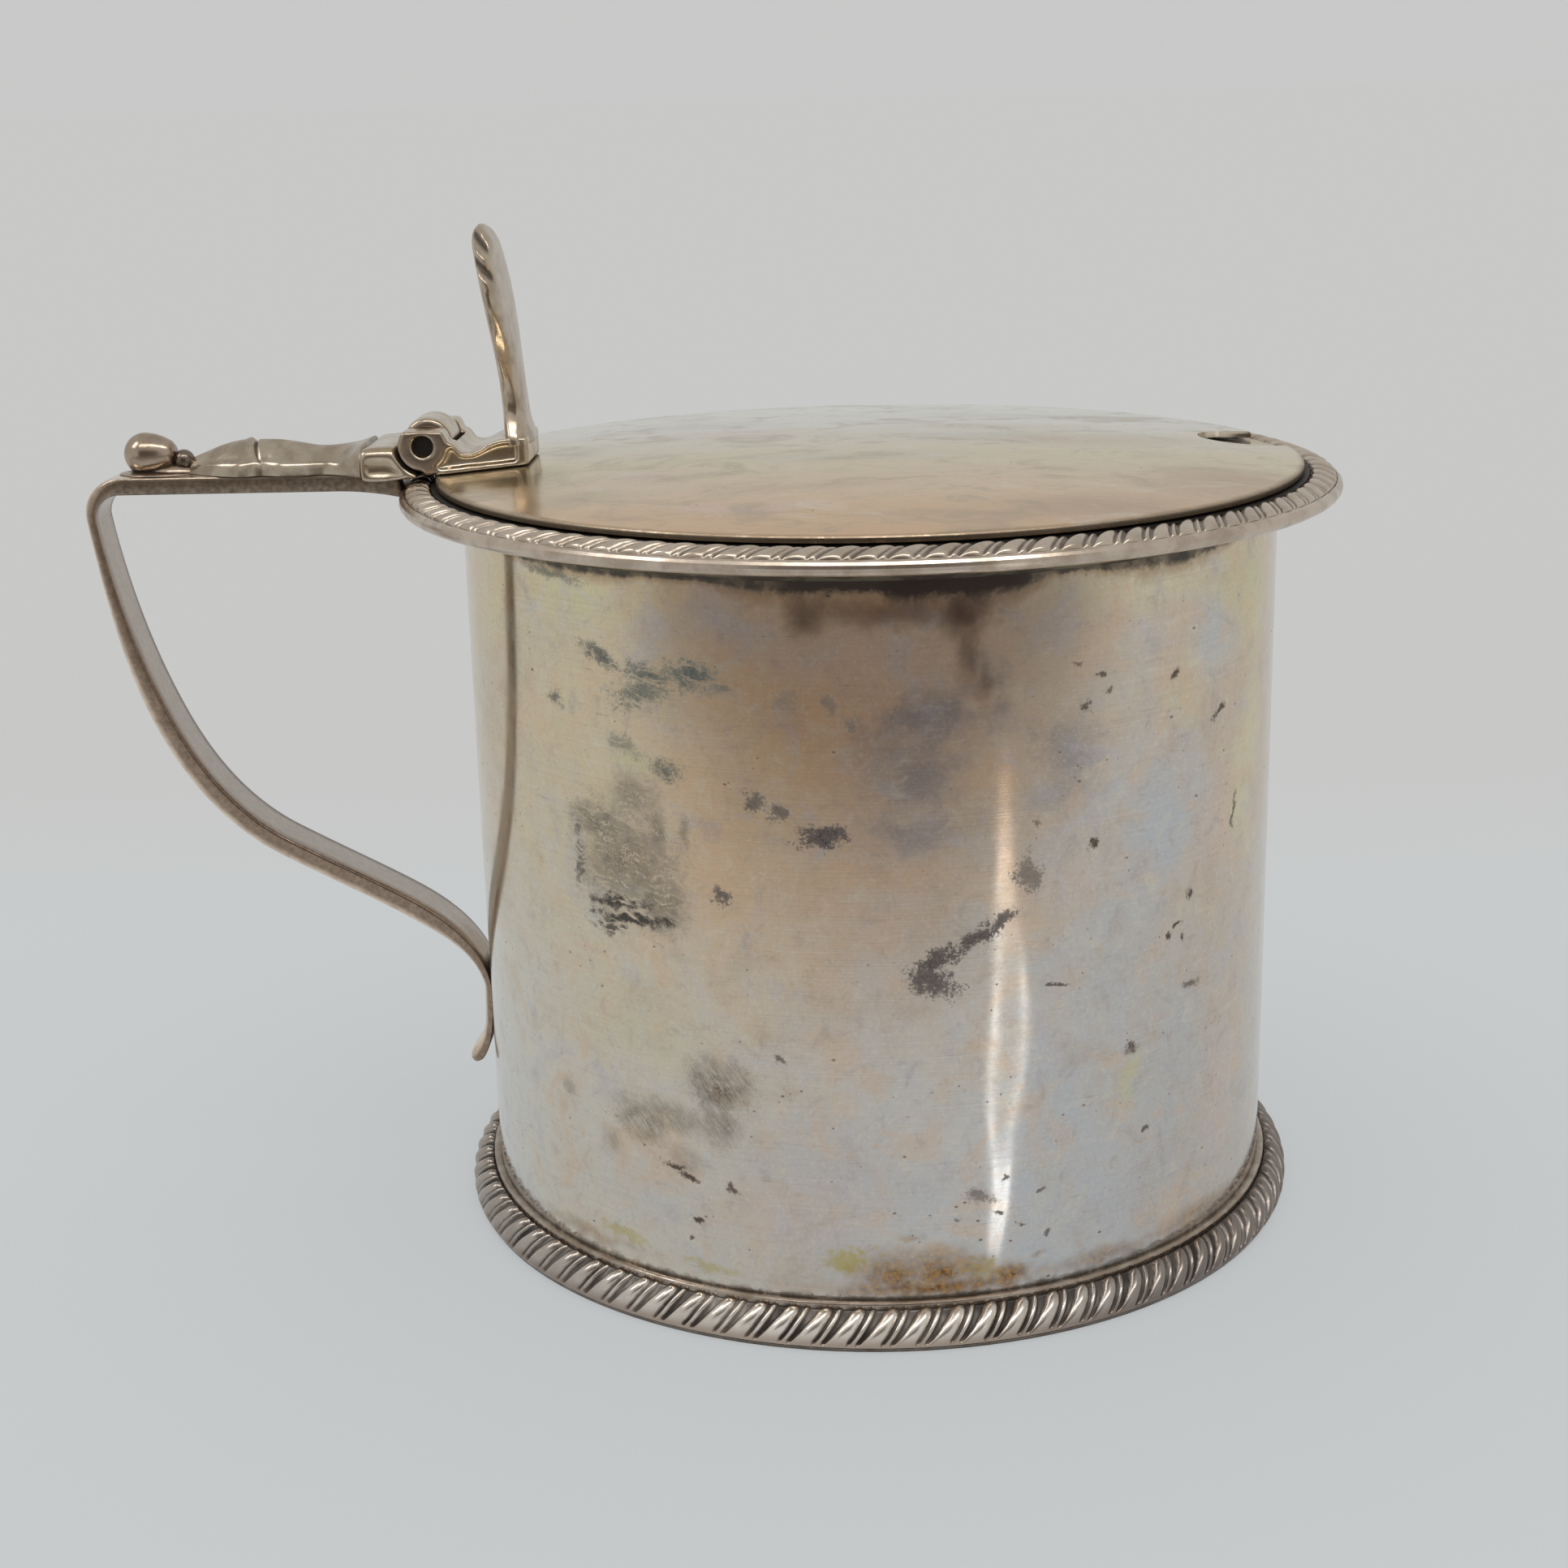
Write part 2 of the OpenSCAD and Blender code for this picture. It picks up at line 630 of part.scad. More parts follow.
// Thumbpiece from its foot (0) to its tip (1): its width, its thickness and its lean
thumb_widths = [[0, bracket_end_w - 0.4], [0.14, thumb_waist + 0.4], [0.3, thumb_waist], [0.5, 0.8 * thumb_w],
                [0.66, thumb_w], [0.8, 0.96 * thumb_w], [0.88, 0.82 * thumb_w], [0.94, 0.6 * thumb_w],
                [0.98, 0.34 * thumb_w], [1, 0.14 * thumb_w]];
thumb_rows = 22;
thumb_cols = 12;
thumb_flutes = 7;
function thumb_line(t) = thumb_x - thumb_lean * pow(t, 1.6);
function thumb_flute(u, t) = 0.5 * (1 + cos(180 * thumb_flutes * u)) * min(1, max(0, (t - 0.25) / 0.3));

// Thickness at place t: a little thinner upwards, and rounded over at the tip
function thumb_thick(t) = thumb_t * (1 - 0.12 * t) * sqrt(max(0.08, 1 - pow(max(0, (t - 0.9) / 0.1), 2)));

// Ring of the thumbpiece at place t: full at its edges, and fluted on the side towards the handle
function thumb_ring(t) =
    let (w = lookup(t, thumb_widths),
         thick = thumb_thick(t),
         x = thumb_line(t),
         z = bracket_top + solder + thumb_h * t)
    concat(
        [for (k = [0 : thumb_cols]) let (u = 2 * k / thumb_cols - 1)
            [x + thick * (0.36 + 0.14 * (1 - pow(u, 4))), w / 2 * u, z]],
        [for (k = [0 : thumb_cols]) let (u = 1 - 2 * k / thumb_cols)
            [x - thick * (0.3 + 0.2 * thumb_flute(u, t)), w / 2 * u, z]]
    );

module thumbpiece() {
    color(cast_silver) placed() loft([for (i = [0 : thumb_rows]) thumb_ring(i / thumb_rows)]);
}

drum_wall();
base_plate();
foot_ring();
foot_gadroon();
rim_flange();
rim_gadroon();
handle_strap();
handle_leaf();
handle_bead();
handle_ball();
hinge_block();
hinge_pin();
glass_liner();
lid_plate();
lid_bracket();
thumbpiece();
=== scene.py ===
"""Looks of the silver mustard pot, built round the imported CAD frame."""

import math

import bmesh
import bpy
import numpy as np
from mathutils import Matrix, Vector


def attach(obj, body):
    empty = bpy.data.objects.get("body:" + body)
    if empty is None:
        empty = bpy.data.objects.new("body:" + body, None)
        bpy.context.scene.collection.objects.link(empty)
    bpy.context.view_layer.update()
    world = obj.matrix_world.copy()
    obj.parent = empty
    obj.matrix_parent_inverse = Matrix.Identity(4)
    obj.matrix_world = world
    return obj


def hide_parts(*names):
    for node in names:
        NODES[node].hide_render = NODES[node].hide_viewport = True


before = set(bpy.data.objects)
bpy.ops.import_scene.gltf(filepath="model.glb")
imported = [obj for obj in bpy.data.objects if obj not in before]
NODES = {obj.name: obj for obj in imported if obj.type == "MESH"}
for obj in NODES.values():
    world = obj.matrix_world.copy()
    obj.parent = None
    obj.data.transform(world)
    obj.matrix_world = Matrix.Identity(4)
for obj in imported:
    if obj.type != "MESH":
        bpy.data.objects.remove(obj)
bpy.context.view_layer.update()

MM = 0.001

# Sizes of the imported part, in millimetres about the drum's axis
AXIS_X = 12.45
DRUM_R = 31.0
GIRTH = 194.8
SOLDER = 0.01

FOOT_R = 33.3
FOOT_CORE_R = 31.55
FOOT_LOW = 0.31
FOOT_TOP = 2.8
FOOT_H = 3.02
FOOT_PAIRS = 85

RIM_R = 35.7
RIM_UNDER = 54.74
BORDER_OUT_R = 35.25
BORDER_IN_R = 33.25
BORDER_LOW = 56.81
BORDER_TOP = 57.6
RIM_PAIRS = 98

HINGE_X = -33.42
HINGE_Z = 60.25
HINGE_W = 9.5
BRACKET_END_X = -25.62
BRACKET_END_W = 6.6
BRACKET_TOP = 60.65
THUMB_X = -26.72
THUMB_H = 15.6
THUMB_W = 9.4
THUMB_WAIST = 4.8
THUMB_FOOT_W = 6.2
THUMB_T = 1.8
THUMB_LEAN = 2.0
THUMB_SUNK = 0.6

BAR_TOP = 57.6
BAR_FACE = 57.95
BAR_MID = 57.1
STRAP_X = -60.08
STRAP_W = 4.4
STRAP_T = 1.0
CURVE_T = 1.9
BEND_R = 2.5
NOTCH_TURN = 12
LOW_JOIN = 18.0
TAIL_L = 8.6
TAIL_T = 0.8
TAIL_CURL = 1.8
# The strap's S: its middle, the slope there, and the pull of its ends
S_OUT, S_UP = 15.6, 9.85
S_RUN, S_DROP = 8.95, 4.95
UPPER_LEAN, UPPER_FALL = 1.4, 10
LOWER_OUT, LOWER_UP = 1, 2.85
JOIN_DROP, CURL_UP = 2, 1.4

# The bar's flare at the rim, and what stands on its raised face
BAR_FLARE = 0.55
BALL_X = -55.65
BALL_R = 1.6
BEAD_X = -52.85
BEAD_R = 0.7
BEAD_L = 1.1
LEAF_TIP_X = -52.29
LEAF_END_X = -38.33
LEAF_END_W = 8.5

# Worn castings: the lugs' reach from the pin, and the grain of the copies
LUG_R = 2.3
VOXEL = 0.085

bpy.context.scene.view_settings.view_transform = "Standard"


# Meshes

def linked(name, data):
    thing = bpy.data.objects.new(name, data)
    bpy.context.scene.collection.objects.link(thing)
    return thing


def mesh_piece(name, rows, faces, body, node, **marks):
    """A closed piece from rows of points in millimetres about the drum's axis, standing for one CAD node.

    A mark is an attribute, in rows as the points are.
    """
    mesh = bpy.data.meshes.new(name)
    moved = (np.concatenate(rows) + (AXIS_X, 0, 0)) * MM
    mesh.from_pydata(moved.tolist(), [], faces)
    mesh.validate()
    mesh.polygons.foreach_set("use_smooth", [True] * len(mesh.polygons))
    piece = linked(name, mesh)
    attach(piece, body)
    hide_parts(node)
    outward(piece)
    for mark, values in marks.items():
        add_float(piece, mark, np.concatenate(values))
    return piece


def net_faces(rows, cols, close_rows=False, close_cols=True):
    """Quads of a net of rows x cols points."""
    faces = []
    for i in range(rows if close_rows else rows - 1):
        k = (i + 1) % rows
        for j in range(cols if close_cols else cols - 1):
            m = (j + 1) % cols
            faces.append((i * cols + j, k * cols + j, k * cols + m, i * cols + m))
    return faces


def capped_net(rows, cols):
    """Quads of a net that is closed across its rows, and a face at either end."""
    return net_faces(rows, cols) + [tuple(range(k * cols, (k + 1) * cols)) for k in (0, rows - 1)]


def outward(piece):
    """Turns every face of a closed piece outward."""
    work = bmesh.new()
    work.from_mesh(piece.data)
    bmesh.ops.recalc_face_normals(work, faces=work.faces)
    work.to_mesh(piece.data)
    work.free()


def add_float(piece, name, values):
    attribute = piece.data.attributes.new(name, "FLOAT", "POINT")
    attribute.data.foreach_set("value", np.asarray(values, np.float32))


def points_of(piece):
    place = np.empty(len(piece.data.vertices) * 3)
    piece.data.vertices.foreach_get("co", place)
    return place.reshape(-1, 3)


def blend(table, t):
    """Smooth value at t from a table of (place, value)."""
    p, v = np.asarray(table, float).T
    i = np.clip(np.searchsorted(p, t, side="right") - 1, 0, len(p) - 2)
    slopes = np.gradient(v, p)
    h = p[i + 1] - p[i]
    s = (t - p[i]) / h
    return ((2 * s ** 3 - 3 * s ** 2 + 1) * v[i] + (s ** 3 - 2 * s ** 2 + s) * h * slopes[i]
            + (3 * s ** 2 - 2 * s ** 3) * v[i + 1] + (s ** 3 - s ** 2) * h * slopes[i + 1])


def unit(t):
    return np.clip(t, 0, 1)


def ease(t):
    t = unit(t)
    return t * t * (3 - 2 * t)


def lobe(s, v, wedge):
    """Height of the gadroon, 0 to 1, at place s across one pair and v from its low end to its high end."""
    def ridge(start, end, top_round):
        middle = (start + end) / 2
        half = (end - start) / 2 * unit(1 - unit((v - top_round) / (1 - top_round)) ** 2) ** 0.5
        across = unit(np.abs(s - middle) / np.maximum(half, 1e-4))
        return unit(1 - across ** 2) ** 0.5
    fat = ridge(0.02 + wedge * ease((v - 0.3) / 0.65), 0.66, 0.86)
    thin = 0.74 * ridge(0.73, 0.91, 0.92)
    return np.maximum(fat, thin)


def gadroon_border(name, section, out, pairs, mid_r, depth, lean, wedge, node):
    """Border of lobes in pairs round the pot. Section points are (radius, height, share of the depth, place)."""
    per_pair = 20
    cols = pairs * per_pair
    section = np.asarray(section, float)
    angle = np.arange(cols) * 2 * math.pi / cols
    s = (np.arange(cols) % per_pair) / per_pair
    points, cavity = [], []
    for r, z, share, place in section:
        high = lobe(s, np.full(cols, place), wedge)
        drop = depth * (high - 1) * share
        a = angle + lean / mid_r * place
        rr = np.maximum(section[:, 0].min(), r + drop * out[0])
        points.append(np.stack([rr * np.cos(a), rr * np.sin(a), z + drop * out[1]], 1))
        cavity.append((1 - high) * min(1, share * 1.3))
    return mesh_piece(name, points, net_faces(len(section), cols, close_rows=True), "pot", node, cavity=cavity)


def curve_rows(corners, count):
    """Points along a smooth curve through rows of numbers."""
    corners = np.asarray(corners, float)
    length = np.concatenate([[0], np.cumsum(np.hypot(*np.diff(corners[:, :2], axis=0).T))])
    t = np.linspace(0, length[-1], count)
    return np.stack([blend(list(zip(length, corners[:, k])), t) for k in range(corners.shape[1])], 1)


foot_span = FOOT_R - FOOT_CORE_R
foot_tall = FOOT_TOP - FOOT_LOW
foot_face = curve_rows([
    (FOOT_CORE_R + 0.12, FOOT_TOP - 0.02, 0.9, 1.0),
    (FOOT_R - 0.72 * foot_span, FOOT_TOP - 0.05, 1, 0.94),
    (FOOT_R - 0.42 * foot_span, FOOT_LOW + 0.86 * foot_tall, 1, 0.82),
    (FOOT_R - 0.16 * foot_span, FOOT_LOW + 0.66 * foot_tall, 1, 0.62),
    (FOOT_R - 0.02, FOOT_LOW + 0.38 * foot_tall, 1, 0.36),
    (FOOT_R - 0.01, FOOT_LOW + 0.2 * foot_tall, 0.6, 0.18),
    (FOOT_R - 0.08, FOOT_LOW + 0.06 * foot_tall, 0.06, 0.05),
    (FOOT_R - 0.22, FOOT_LOW, 0, 0),
], 20)
foot_back = [(FOOT_CORE_R + 0.03, FOOT_LOW, 0, 0), (FOOT_CORE_R + 0.03, FOOT_TOP - 0.3, 0, 1)]
foot_border = gadroon_border("foot_border", np.concatenate([foot_face, foot_back]), (0.8, 0.6),
                             FOOT_PAIRS, FOOT_R, 0.55, 1.9, 0.14, "foot_gadroon")

border_w = BORDER_OUT_R - BORDER_IN_R
rim_face = curve_rows([
    (BORDER_IN_R + 0.06, BORDER_TOP - 0.34, 0.4, 1.0),
    (BORDER_IN_R + 0.16 * border_w, BORDER_TOP - 0.09, 0.9, 0.86),
    (BORDER_OUT_R - 0.6 * border_w, BORDER_TOP - 0.01, 1, 0.6),
    (BORDER_OUT_R - 0.3 * border_w, BORDER_TOP - 0.16, 1, 0.3),
    (BORDER_OUT_R - 0.06, BORDER_LOW + 0.3, 0.5, 0.05),
    (BORDER_OUT_R - 0.02, BORDER_LOW, 0, 0),
], 16)
rim_back = [(BORDER_IN_R + 0.03, BORDER_LOW, 0, 0)]
rim_border = gadroon_border("rim_border", np.concatenate([rim_face, rim_back]), (0.3, 0.95),
                            RIM_PAIRS, BORDER_OUT_R, 0.34, 1.8, 0.12, "rim_gadroon")


def bezier(p, t):
    p = np.asarray(p, float)
    t = t[:, None]
    return (1 - t) ** 3 * p[0] + 3 * (1 - t) ** 2 * t * p[1] + 3 * (1 - t) * t * t * p[2] + t ** 3 * p[3]


def handle_strap():
    """The strap along the same middle line as the solid: a flat bar, a half round S and a thin tail."""
    tail_x = -(DRUM_R + SOLDER + TAIL_T / 2)
    mid = np.array([tail_x - S_OUT, LOW_JOIN + S_UP])
    tilt = np.array([S_RUN, -S_DROP])
    top = (STRAP_X, BAR_MID - BEND_R)
    tip = (tail_x - TAIL_CURL, LOW_JOIN - TAIL_L)
    tail_top = (tail_x, LOW_JOIN - JOIN_DROP)
    turn = np.radians(np.linspace(0, 90, 19))
    along_upper = np.linspace(0, 1, 65)[1:]
    along_lower = np.linspace(0, 1, 49)[1:]
    along_tail = np.linspace(0, 1, 33)[1:]
    bar = np.stack([np.linspace(-(RIM_R + SOLDER), STRAP_X + BEND_R, 60)[:-1], np.full(59, BAR_MID)], 1)
    bend = np.stack([STRAP_X + BEND_R * (1 - np.sin(turn)), BAR_MID - BEND_R * (1 - np.cos(turn))], 1)
    upper = bezier([top, (STRAP_X + UPPER_LEAN, top[1] - UPPER_FALL), mid - tilt, mid], along_upper)
    lower = bezier([mid, mid + tilt, (tail_x - LOWER_OUT, LOW_JOIN + LOWER_UP), tail_top], along_lower)
    tail = bezier([tail_top, (tail_x, LOW_JOIN - 0.6 * TAIL_L), (tail_x, tip[1] + CURL_UP), tip], along_tail)
    line = np.concatenate([bar, bend, upper, lower, tail])
    thick = np.concatenate([
        np.full(len(bar) + len(bend), STRAP_T),
        STRAP_T + (CURVE_T - STRAP_T) * ease(along_upper / 0.5625),
        CURVE_T + (TAIL_T - CURVE_T) * ease((along_lower - 0.4167) / 0.5833),
        TAIL_T * (1 + 0.4 * ease((along_tail - 0.5) / 0.4)),
    ])
    n = len(line)
    crown = np.concatenate([np.zeros(len(bar)), np.linspace(0, 1, len(bend)), np.ones(n - len(bar) - len(bend))])
    flare = BAR_FLARE * unit(1 - (line[:, 0] + RIM_R) / -5.0) ** 2 * (np.arange(n) < len(bar))
    close = np.sqrt(np.clip(1 - unit((np.arange(n) - (n - 7)) / 6.2) ** 2, 0.02, 1))
    along = np.gradient(line, axis=0)
    along /= np.linalg.norm(along, axis=1)[:, None]
    out = np.stack([along[:, 1], -along[:, 0]], 1)
    theta = np.linspace(0, math.pi, 21)
    inner_q = np.array([-1, -0.985, -0.95, -0.5, 0, 0.5, 0.95, 0.985, 1])
    inner_n = np.array([0.09, 0.03, 0, 0, 0, 0, 0, 0.03, 0.09])
    points, side, bar_side, inner, upper_face = [], [], [], [], []
    for k in range(n):
        foot = 0.72 + (0.13 - 0.72) * crown[k]
        power = 0.36 + 0.39 * crown[k]
        q = np.concatenate([np.sign(np.cos(theta)) * np.abs(np.cos(theta)) ** power, inner_q])
        share = np.concatenate([foot + (1 - foot) * np.abs(np.sin(theta)) ** power, inner_n])
        depth = thick[k] * close[k] * (share - 0.5) - flare[k] * unit(1 - 2 * share)
        depth += (BAR_FACE - BAR_TOP) * (1 - crown[k]) * unit((share - 0.3) / 0.6)
        half = STRAP_W / 2 * (0.35 + 0.65 * close[k])
        points.append(np.stack([line[k, 0] + out[k, 0] * depth, q * half, line[k, 1] + out[k, 1] * depth], 1))
        # Marks for painted light and shade: darker side faces, a darker inner face and a lighter top to the bar
        flank = unit((np.abs(q) - 0.84) / 0.12)
        side.append(flank * unit((0.8 - share) / 0.25) * crown[k])
        bar_side.append(flank * unit((0.95 - share) / 0.25) * (1 - crown[k]))
        inner.append(unit((0.06 - share) / 0.05))
        upper_face.append(unit((share - 0.9) / 0.08) * (1 - crown[k]))
    return mesh_piece("strap", points, capped_net(n, len(points[0])), "pot", "handle_strap",
                      side=side, bar_side=bar_side, inner=inner, bar_top=upper_face)


strap = handle_strap()


def bar_drop(name, node, x, z, profile, pads=()):
    """A turned drop on the bar, from a profile of (place along the bar, radius). A pad is (from, to, width, height)."""
    sides, pad_rows = 64, 14
    around = np.linspace(0, 2 * math.pi, sides, endpoint=False)
    seat = BAR_FACE + SOLDER
    points = [np.stack([np.full(sides, x + place), r * np.cos(around), np.maximum(z + r * np.sin(around), seat)], 1)
              for place, r in profile]
    faces = capped_net(len(points), sides)
    for start, end, width, height in pads:
        first = len(points) * sides
        points += [np.stack([(start + end) / 2 + (end - start) / 2 * math.cos(a) * np.cos(around),
                             width / 2 * math.cos(a) * np.sin(around), np.full(sides, seat + height * math.sin(a))], 1)
                   for a in np.radians(np.linspace(0, 88, pad_rows))]
        faces += [tuple(first + k for k in face) for face in capped_net(pad_rows, sides)]
    return mesh_piece(name, points, faces, "pot", node)


swing = np.radians(np.linspace(-88, 8, 25))
drawn_out = np.linspace(math.sin(swing[-1]), 1.42, 26)[1:]
taper = blend([(0.13, 0.99), (0.4, 0.95), (0.65, 0.88), (0.9, 0.78), (1.1, 0.68), (1.28, 0.56), (1.43, 0.36)],
              drawn_out)
ball = bar_drop("ball", "handle_ball", BALL_X - 0.12, BAR_FACE + 0.95 * BALL_R, BALL_R * 1.03 * np.concatenate([
    np.stack([np.sin(swing), np.cos(swing)], 1), np.stack([drawn_out, taper], 1)]), (
        (BALL_X - 2.3, LEAF_TIP_X + 0.6, 4.0, 0.34), (BALL_X - 0.6, LEAF_TIP_X + 0.7, 2.6, 0.85)))
swing = np.radians(np.linspace(-88, 88, 33))
bead = bar_drop("bead", "handle_bead", BEAD_X + 0.02, BAR_FACE + 0.98,
                np.stack([0.75 * BEAD_L * np.sin(swing), 1.2 * BEAD_R * np.cos(swing)], 1))


def handle_leaf():
    """The cast leaf on the bar: two overlapping lobes with rolled edges, running into the hinge block."""
    rows, cols = 190, 91
    t = np.linspace(0, 1, rows)
    high = blend([(0, 1.1), (0.08, 1.55), (0.2, 2.18), (0.32, 2.5), (0.385, 2.5), (0.5, 2.46), (0.6, 2.27),
                  (0.74, 1.95), (0.88, 2.07), (1, 2.3)], t)
    wide = blend([(0, 1.7), (0.1, 3.3), (0.22, 5.0), (0.33, 5.7), (0.42, 4.8), (0.54, 5.7), (0.64, 5.6), (0.76, 4.6),
                  (0.88, 5.8), (1, LEAF_END_W - 0.1)], t)
    u = np.sin(np.linspace(-math.pi / 2, math.pi / 2, cols))
    points, cavity = [], []
    for k in range(rows):
        seam = t[k] - 0.375 - 0.06 * u ** 2
        step = 0.34 * np.exp(-(seam / 0.010) ** 2) * (1 - 0.6 * u ** 4)
        lip = 0.14 * np.exp(-((seam + 0.03) / 0.022) ** 2)
        fan = (t[k] * 7 + np.abs(u) * 2.4) * math.pi
        veins = 0.03 * np.cos(fan) ** 2 * ease(np.abs(u) / 0.3) * ease((0.86 - t[k]) / 0.1)
        flat = ease((t[k] - 0.84) / 0.16)
        roll = 0.42 * np.exp(-((np.abs(u) - 0.9) / 0.12) ** 2) * (1 - flat) * ease(t[k] / 0.12)
        bell = (1 - np.abs(u) ** 1.8) ** 1.1 * (1 - flat) + (1 - u ** 6) ** 0.5 * flat
        h = 0.22 * (1 - u ** 8) ** 0.5 + (high[k] - 0.22 + lip - step - veins) * bell + roll * (1 - u ** 14)
        x = LEAF_TIP_X + t[k] * (LEAF_END_X - LEAF_TIP_X)
        points.append(np.stack([np.full(cols, x), wide[k] / 2 * u, BAR_FACE + SOLDER + np.maximum(h, 0)], 1))
        cavity.append(unit(step * 2.6 + veins * 3.0))
    return mesh_piece("leaf", points, capped_net(rows, cols), "pot", "handle_leaf", cavity=cavity)


leaf = handle_leaf()


def thumb_shell():
    """The upright shell: fluted edges notched near the tip, ribs towards the handle, a scroll at its foot."""
    rows, cols = 220, 112
    t = np.linspace(0, 1, rows)
    wide = blend([(0, THUMB_FOOT_W), (0.06, 5.9), (0.16, 5.0), (0.3, THUMB_WAIST), (0.42, 6.2), (0.54, 8.2),
                  (0.66, THUMB_W), (0.8, 9.1), (0.88, 7.9), (0.94, 5.9), (0.98, 3.6), (1, 1.3)], t)
    a = np.linspace(0, 2 * math.pi, cols, endpoint=False)
    across = np.sign(np.cos(a)) * np.abs(np.cos(a)) ** 0.6
    deep = np.sign(np.sin(a)) * np.abs(np.sin(a)) ** 0.78
    at_edge = ease((np.abs(across) - 0.72) / 0.24)
    points, cavity = [], []
    for k in range(rows):
        place = t[k]
        shell = ease((place - 0.26) / 0.16)
        over = max(0.0, (place - 0.9) / 0.1)
        thick = THUMB_T * (1 - 0.12 * place) * math.sqrt(max(0.05, 1 - over ** 2))
        rib = 0.5 * (1 + np.cos(math.pi * 7 * across)) * (deep < 0) * (1 - at_edge)
        x = thick * 0.5 * deep + thick * 0.17 * shell * (1 - rib) * (deep < -0.3) * (1 - at_edge)
        z = THUMB_H * place
        notch = ease((place - 0.70) / 0.07) * ease((1.0 - place) / 0.04)
        wave = 0.5 + 0.5 * np.cos(2 * math.pi * (z + 1.2 * x) / 1.95)
        flute = 0.5 + 0.5 * np.cos(2 * math.pi * (z + 2.4 * x) / 5.2)
        scroll = 0.32 * math.exp(-((place - 0.02) / 0.05) ** 2)
        swell = at_edge * (0.55 * notch * (wave - 1) + 0.24 * flute * ease((0.72 - place) / 0.1) + scroll)
        y = across * (wide[k] / 2 + swell)
        toe = 0.4 * math.exp(-(place / 0.07) ** 2) * unit(deep)
        points.append(np.stack([THUMB_X - THUMB_LEAN * place ** 1.6 + x + toe, y,
                                np.full(cols, BRACKET_TOP - THUMB_SUNK + z * (1 + THUMB_SUNK / THUMB_H))], 1))
        cavity.append(unit(shell * (1 - rib) * 0.8 * (deep < -0.2) * (1 - at_edge)
                           + at_edge * notch * (1 - wave) * 0.9))
    return mesh_piece("shell", points, capped_net(rows, cols), "lid", "thumbpiece", cavity=cavity)


shell = thumb_shell()


def softened(name, node, body, rounds, shape=None):
    """A copy of a CAD node with its edges worn round as in a casting, standing for it. Shape moves its points."""
    piece = linked(name, NODES[node].data.copy())
    piece.data.transform(Matrix.Scale(1 / MM, 4))
    remesh = piece.modifiers.new("remesh", "REMESH")
    remesh.mode = "VOXEL"
    remesh.voxel_size = VOXEL
    smooth = piece.modifiers.new("smooth", "SMOOTH")
    smooth.iterations = rounds
    bpy.context.view_layer.update()
    graph = bpy.context.evaluated_depsgraph_get()
    piece.data = bpy.data.meshes.new_from_object(piece.evaluated_get(graph))
    piece.modifiers.clear()
    if shape:
        piece.data.vertices.foreach_set("co", shape(points_of(piece)).ravel())
    piece.data.transform(Matrix.Scale(MM, 4))
    piece.data.polygons.foreach_set("use_smooth", [True] * len(piece.data.polygons))
    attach(piece, body)
    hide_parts(node)
    return piece


def mark_panels(piece, half_width):
    """Marks the lugs, and the parts of the sides that lie deeper than the casting's outer faces."""
    place = points_of(piece) / MM
    facing = np.array([abs(v.normal.y) for v in piece.data.vertices])
    sunk = ease((half_width(place[:, 0] - AXIS_X) - 0.12 - np.abs(place[:, 1])) / 0.4) * ease((facing - 0.1) / 0.4)
    from_pin = np.hypot(place[:, 0] - AXIS_X - HINGE_X, place[:, 2] - HINGE_Z)
    lug = ease((LUG_R - from_pin) / 0.4)
    add_float(piece, "sunk", sunk * (1 - lug))
    add_float(piece, "lug", lug * ease((facing - 0.3) / 0.4))


def bracket_half(x):
    """Half of the bracket's width, which narrows from the hinge to its end."""
    share = unit((x - HINGE_X) / (BRACKET_END_X - HINGE_X))
    return (HINGE_W + share * (BRACKET_END_W - HINGE_W)) / 2


def saddle(place):
    """Lowers the bracket's arm between the lugs and the thumbpiece."""
    x = place[:, 0] - AXIS_X - HINGE_X
    from_pin = np.hypot(x, place[:, 2] - HINGE_Z)
    dip = 0.85 * np.exp(-((x - 3.4) / 1.5) ** 2) * ease((from_pin - 2.1) / 0.7) * ease((place[:, 2] - 58.6) / 1.9)
    moved = place.copy()
    moved[:, 2] -= dip
    return moved


block = softened("hinge_casting", "hinge_block", "pot", 200)
bracket = softened("bracket_casting", "lid_bracket", "lid", 60, saddle)
mark_panels(block, lambda x: HINGE_W / 2)
mark_panels(bracket, bracket_half)


# Materials

def reckon(operation):
    return lambda *values: values[0].graph.math(operation, *values)


class Value:
    """A node's output that can be reckoned with; a | b is the larger of the two."""

    def __init__(self, graph, socket):
        self.graph = graph
        self.socket = socket

    __add__ = reckon("ADD")
    __sub__ = reckon("SUBTRACT")
    __mul__ = reckon("MULTIPLY")
    __truediv__ = reckon("DIVIDE")
    __or__ = reckon("MAXIMUM")
    __abs__ = reckon("ABSOLUTE")

    def __rsub__(self, number):
        return self.graph.math("SUBTRACT", number, self)


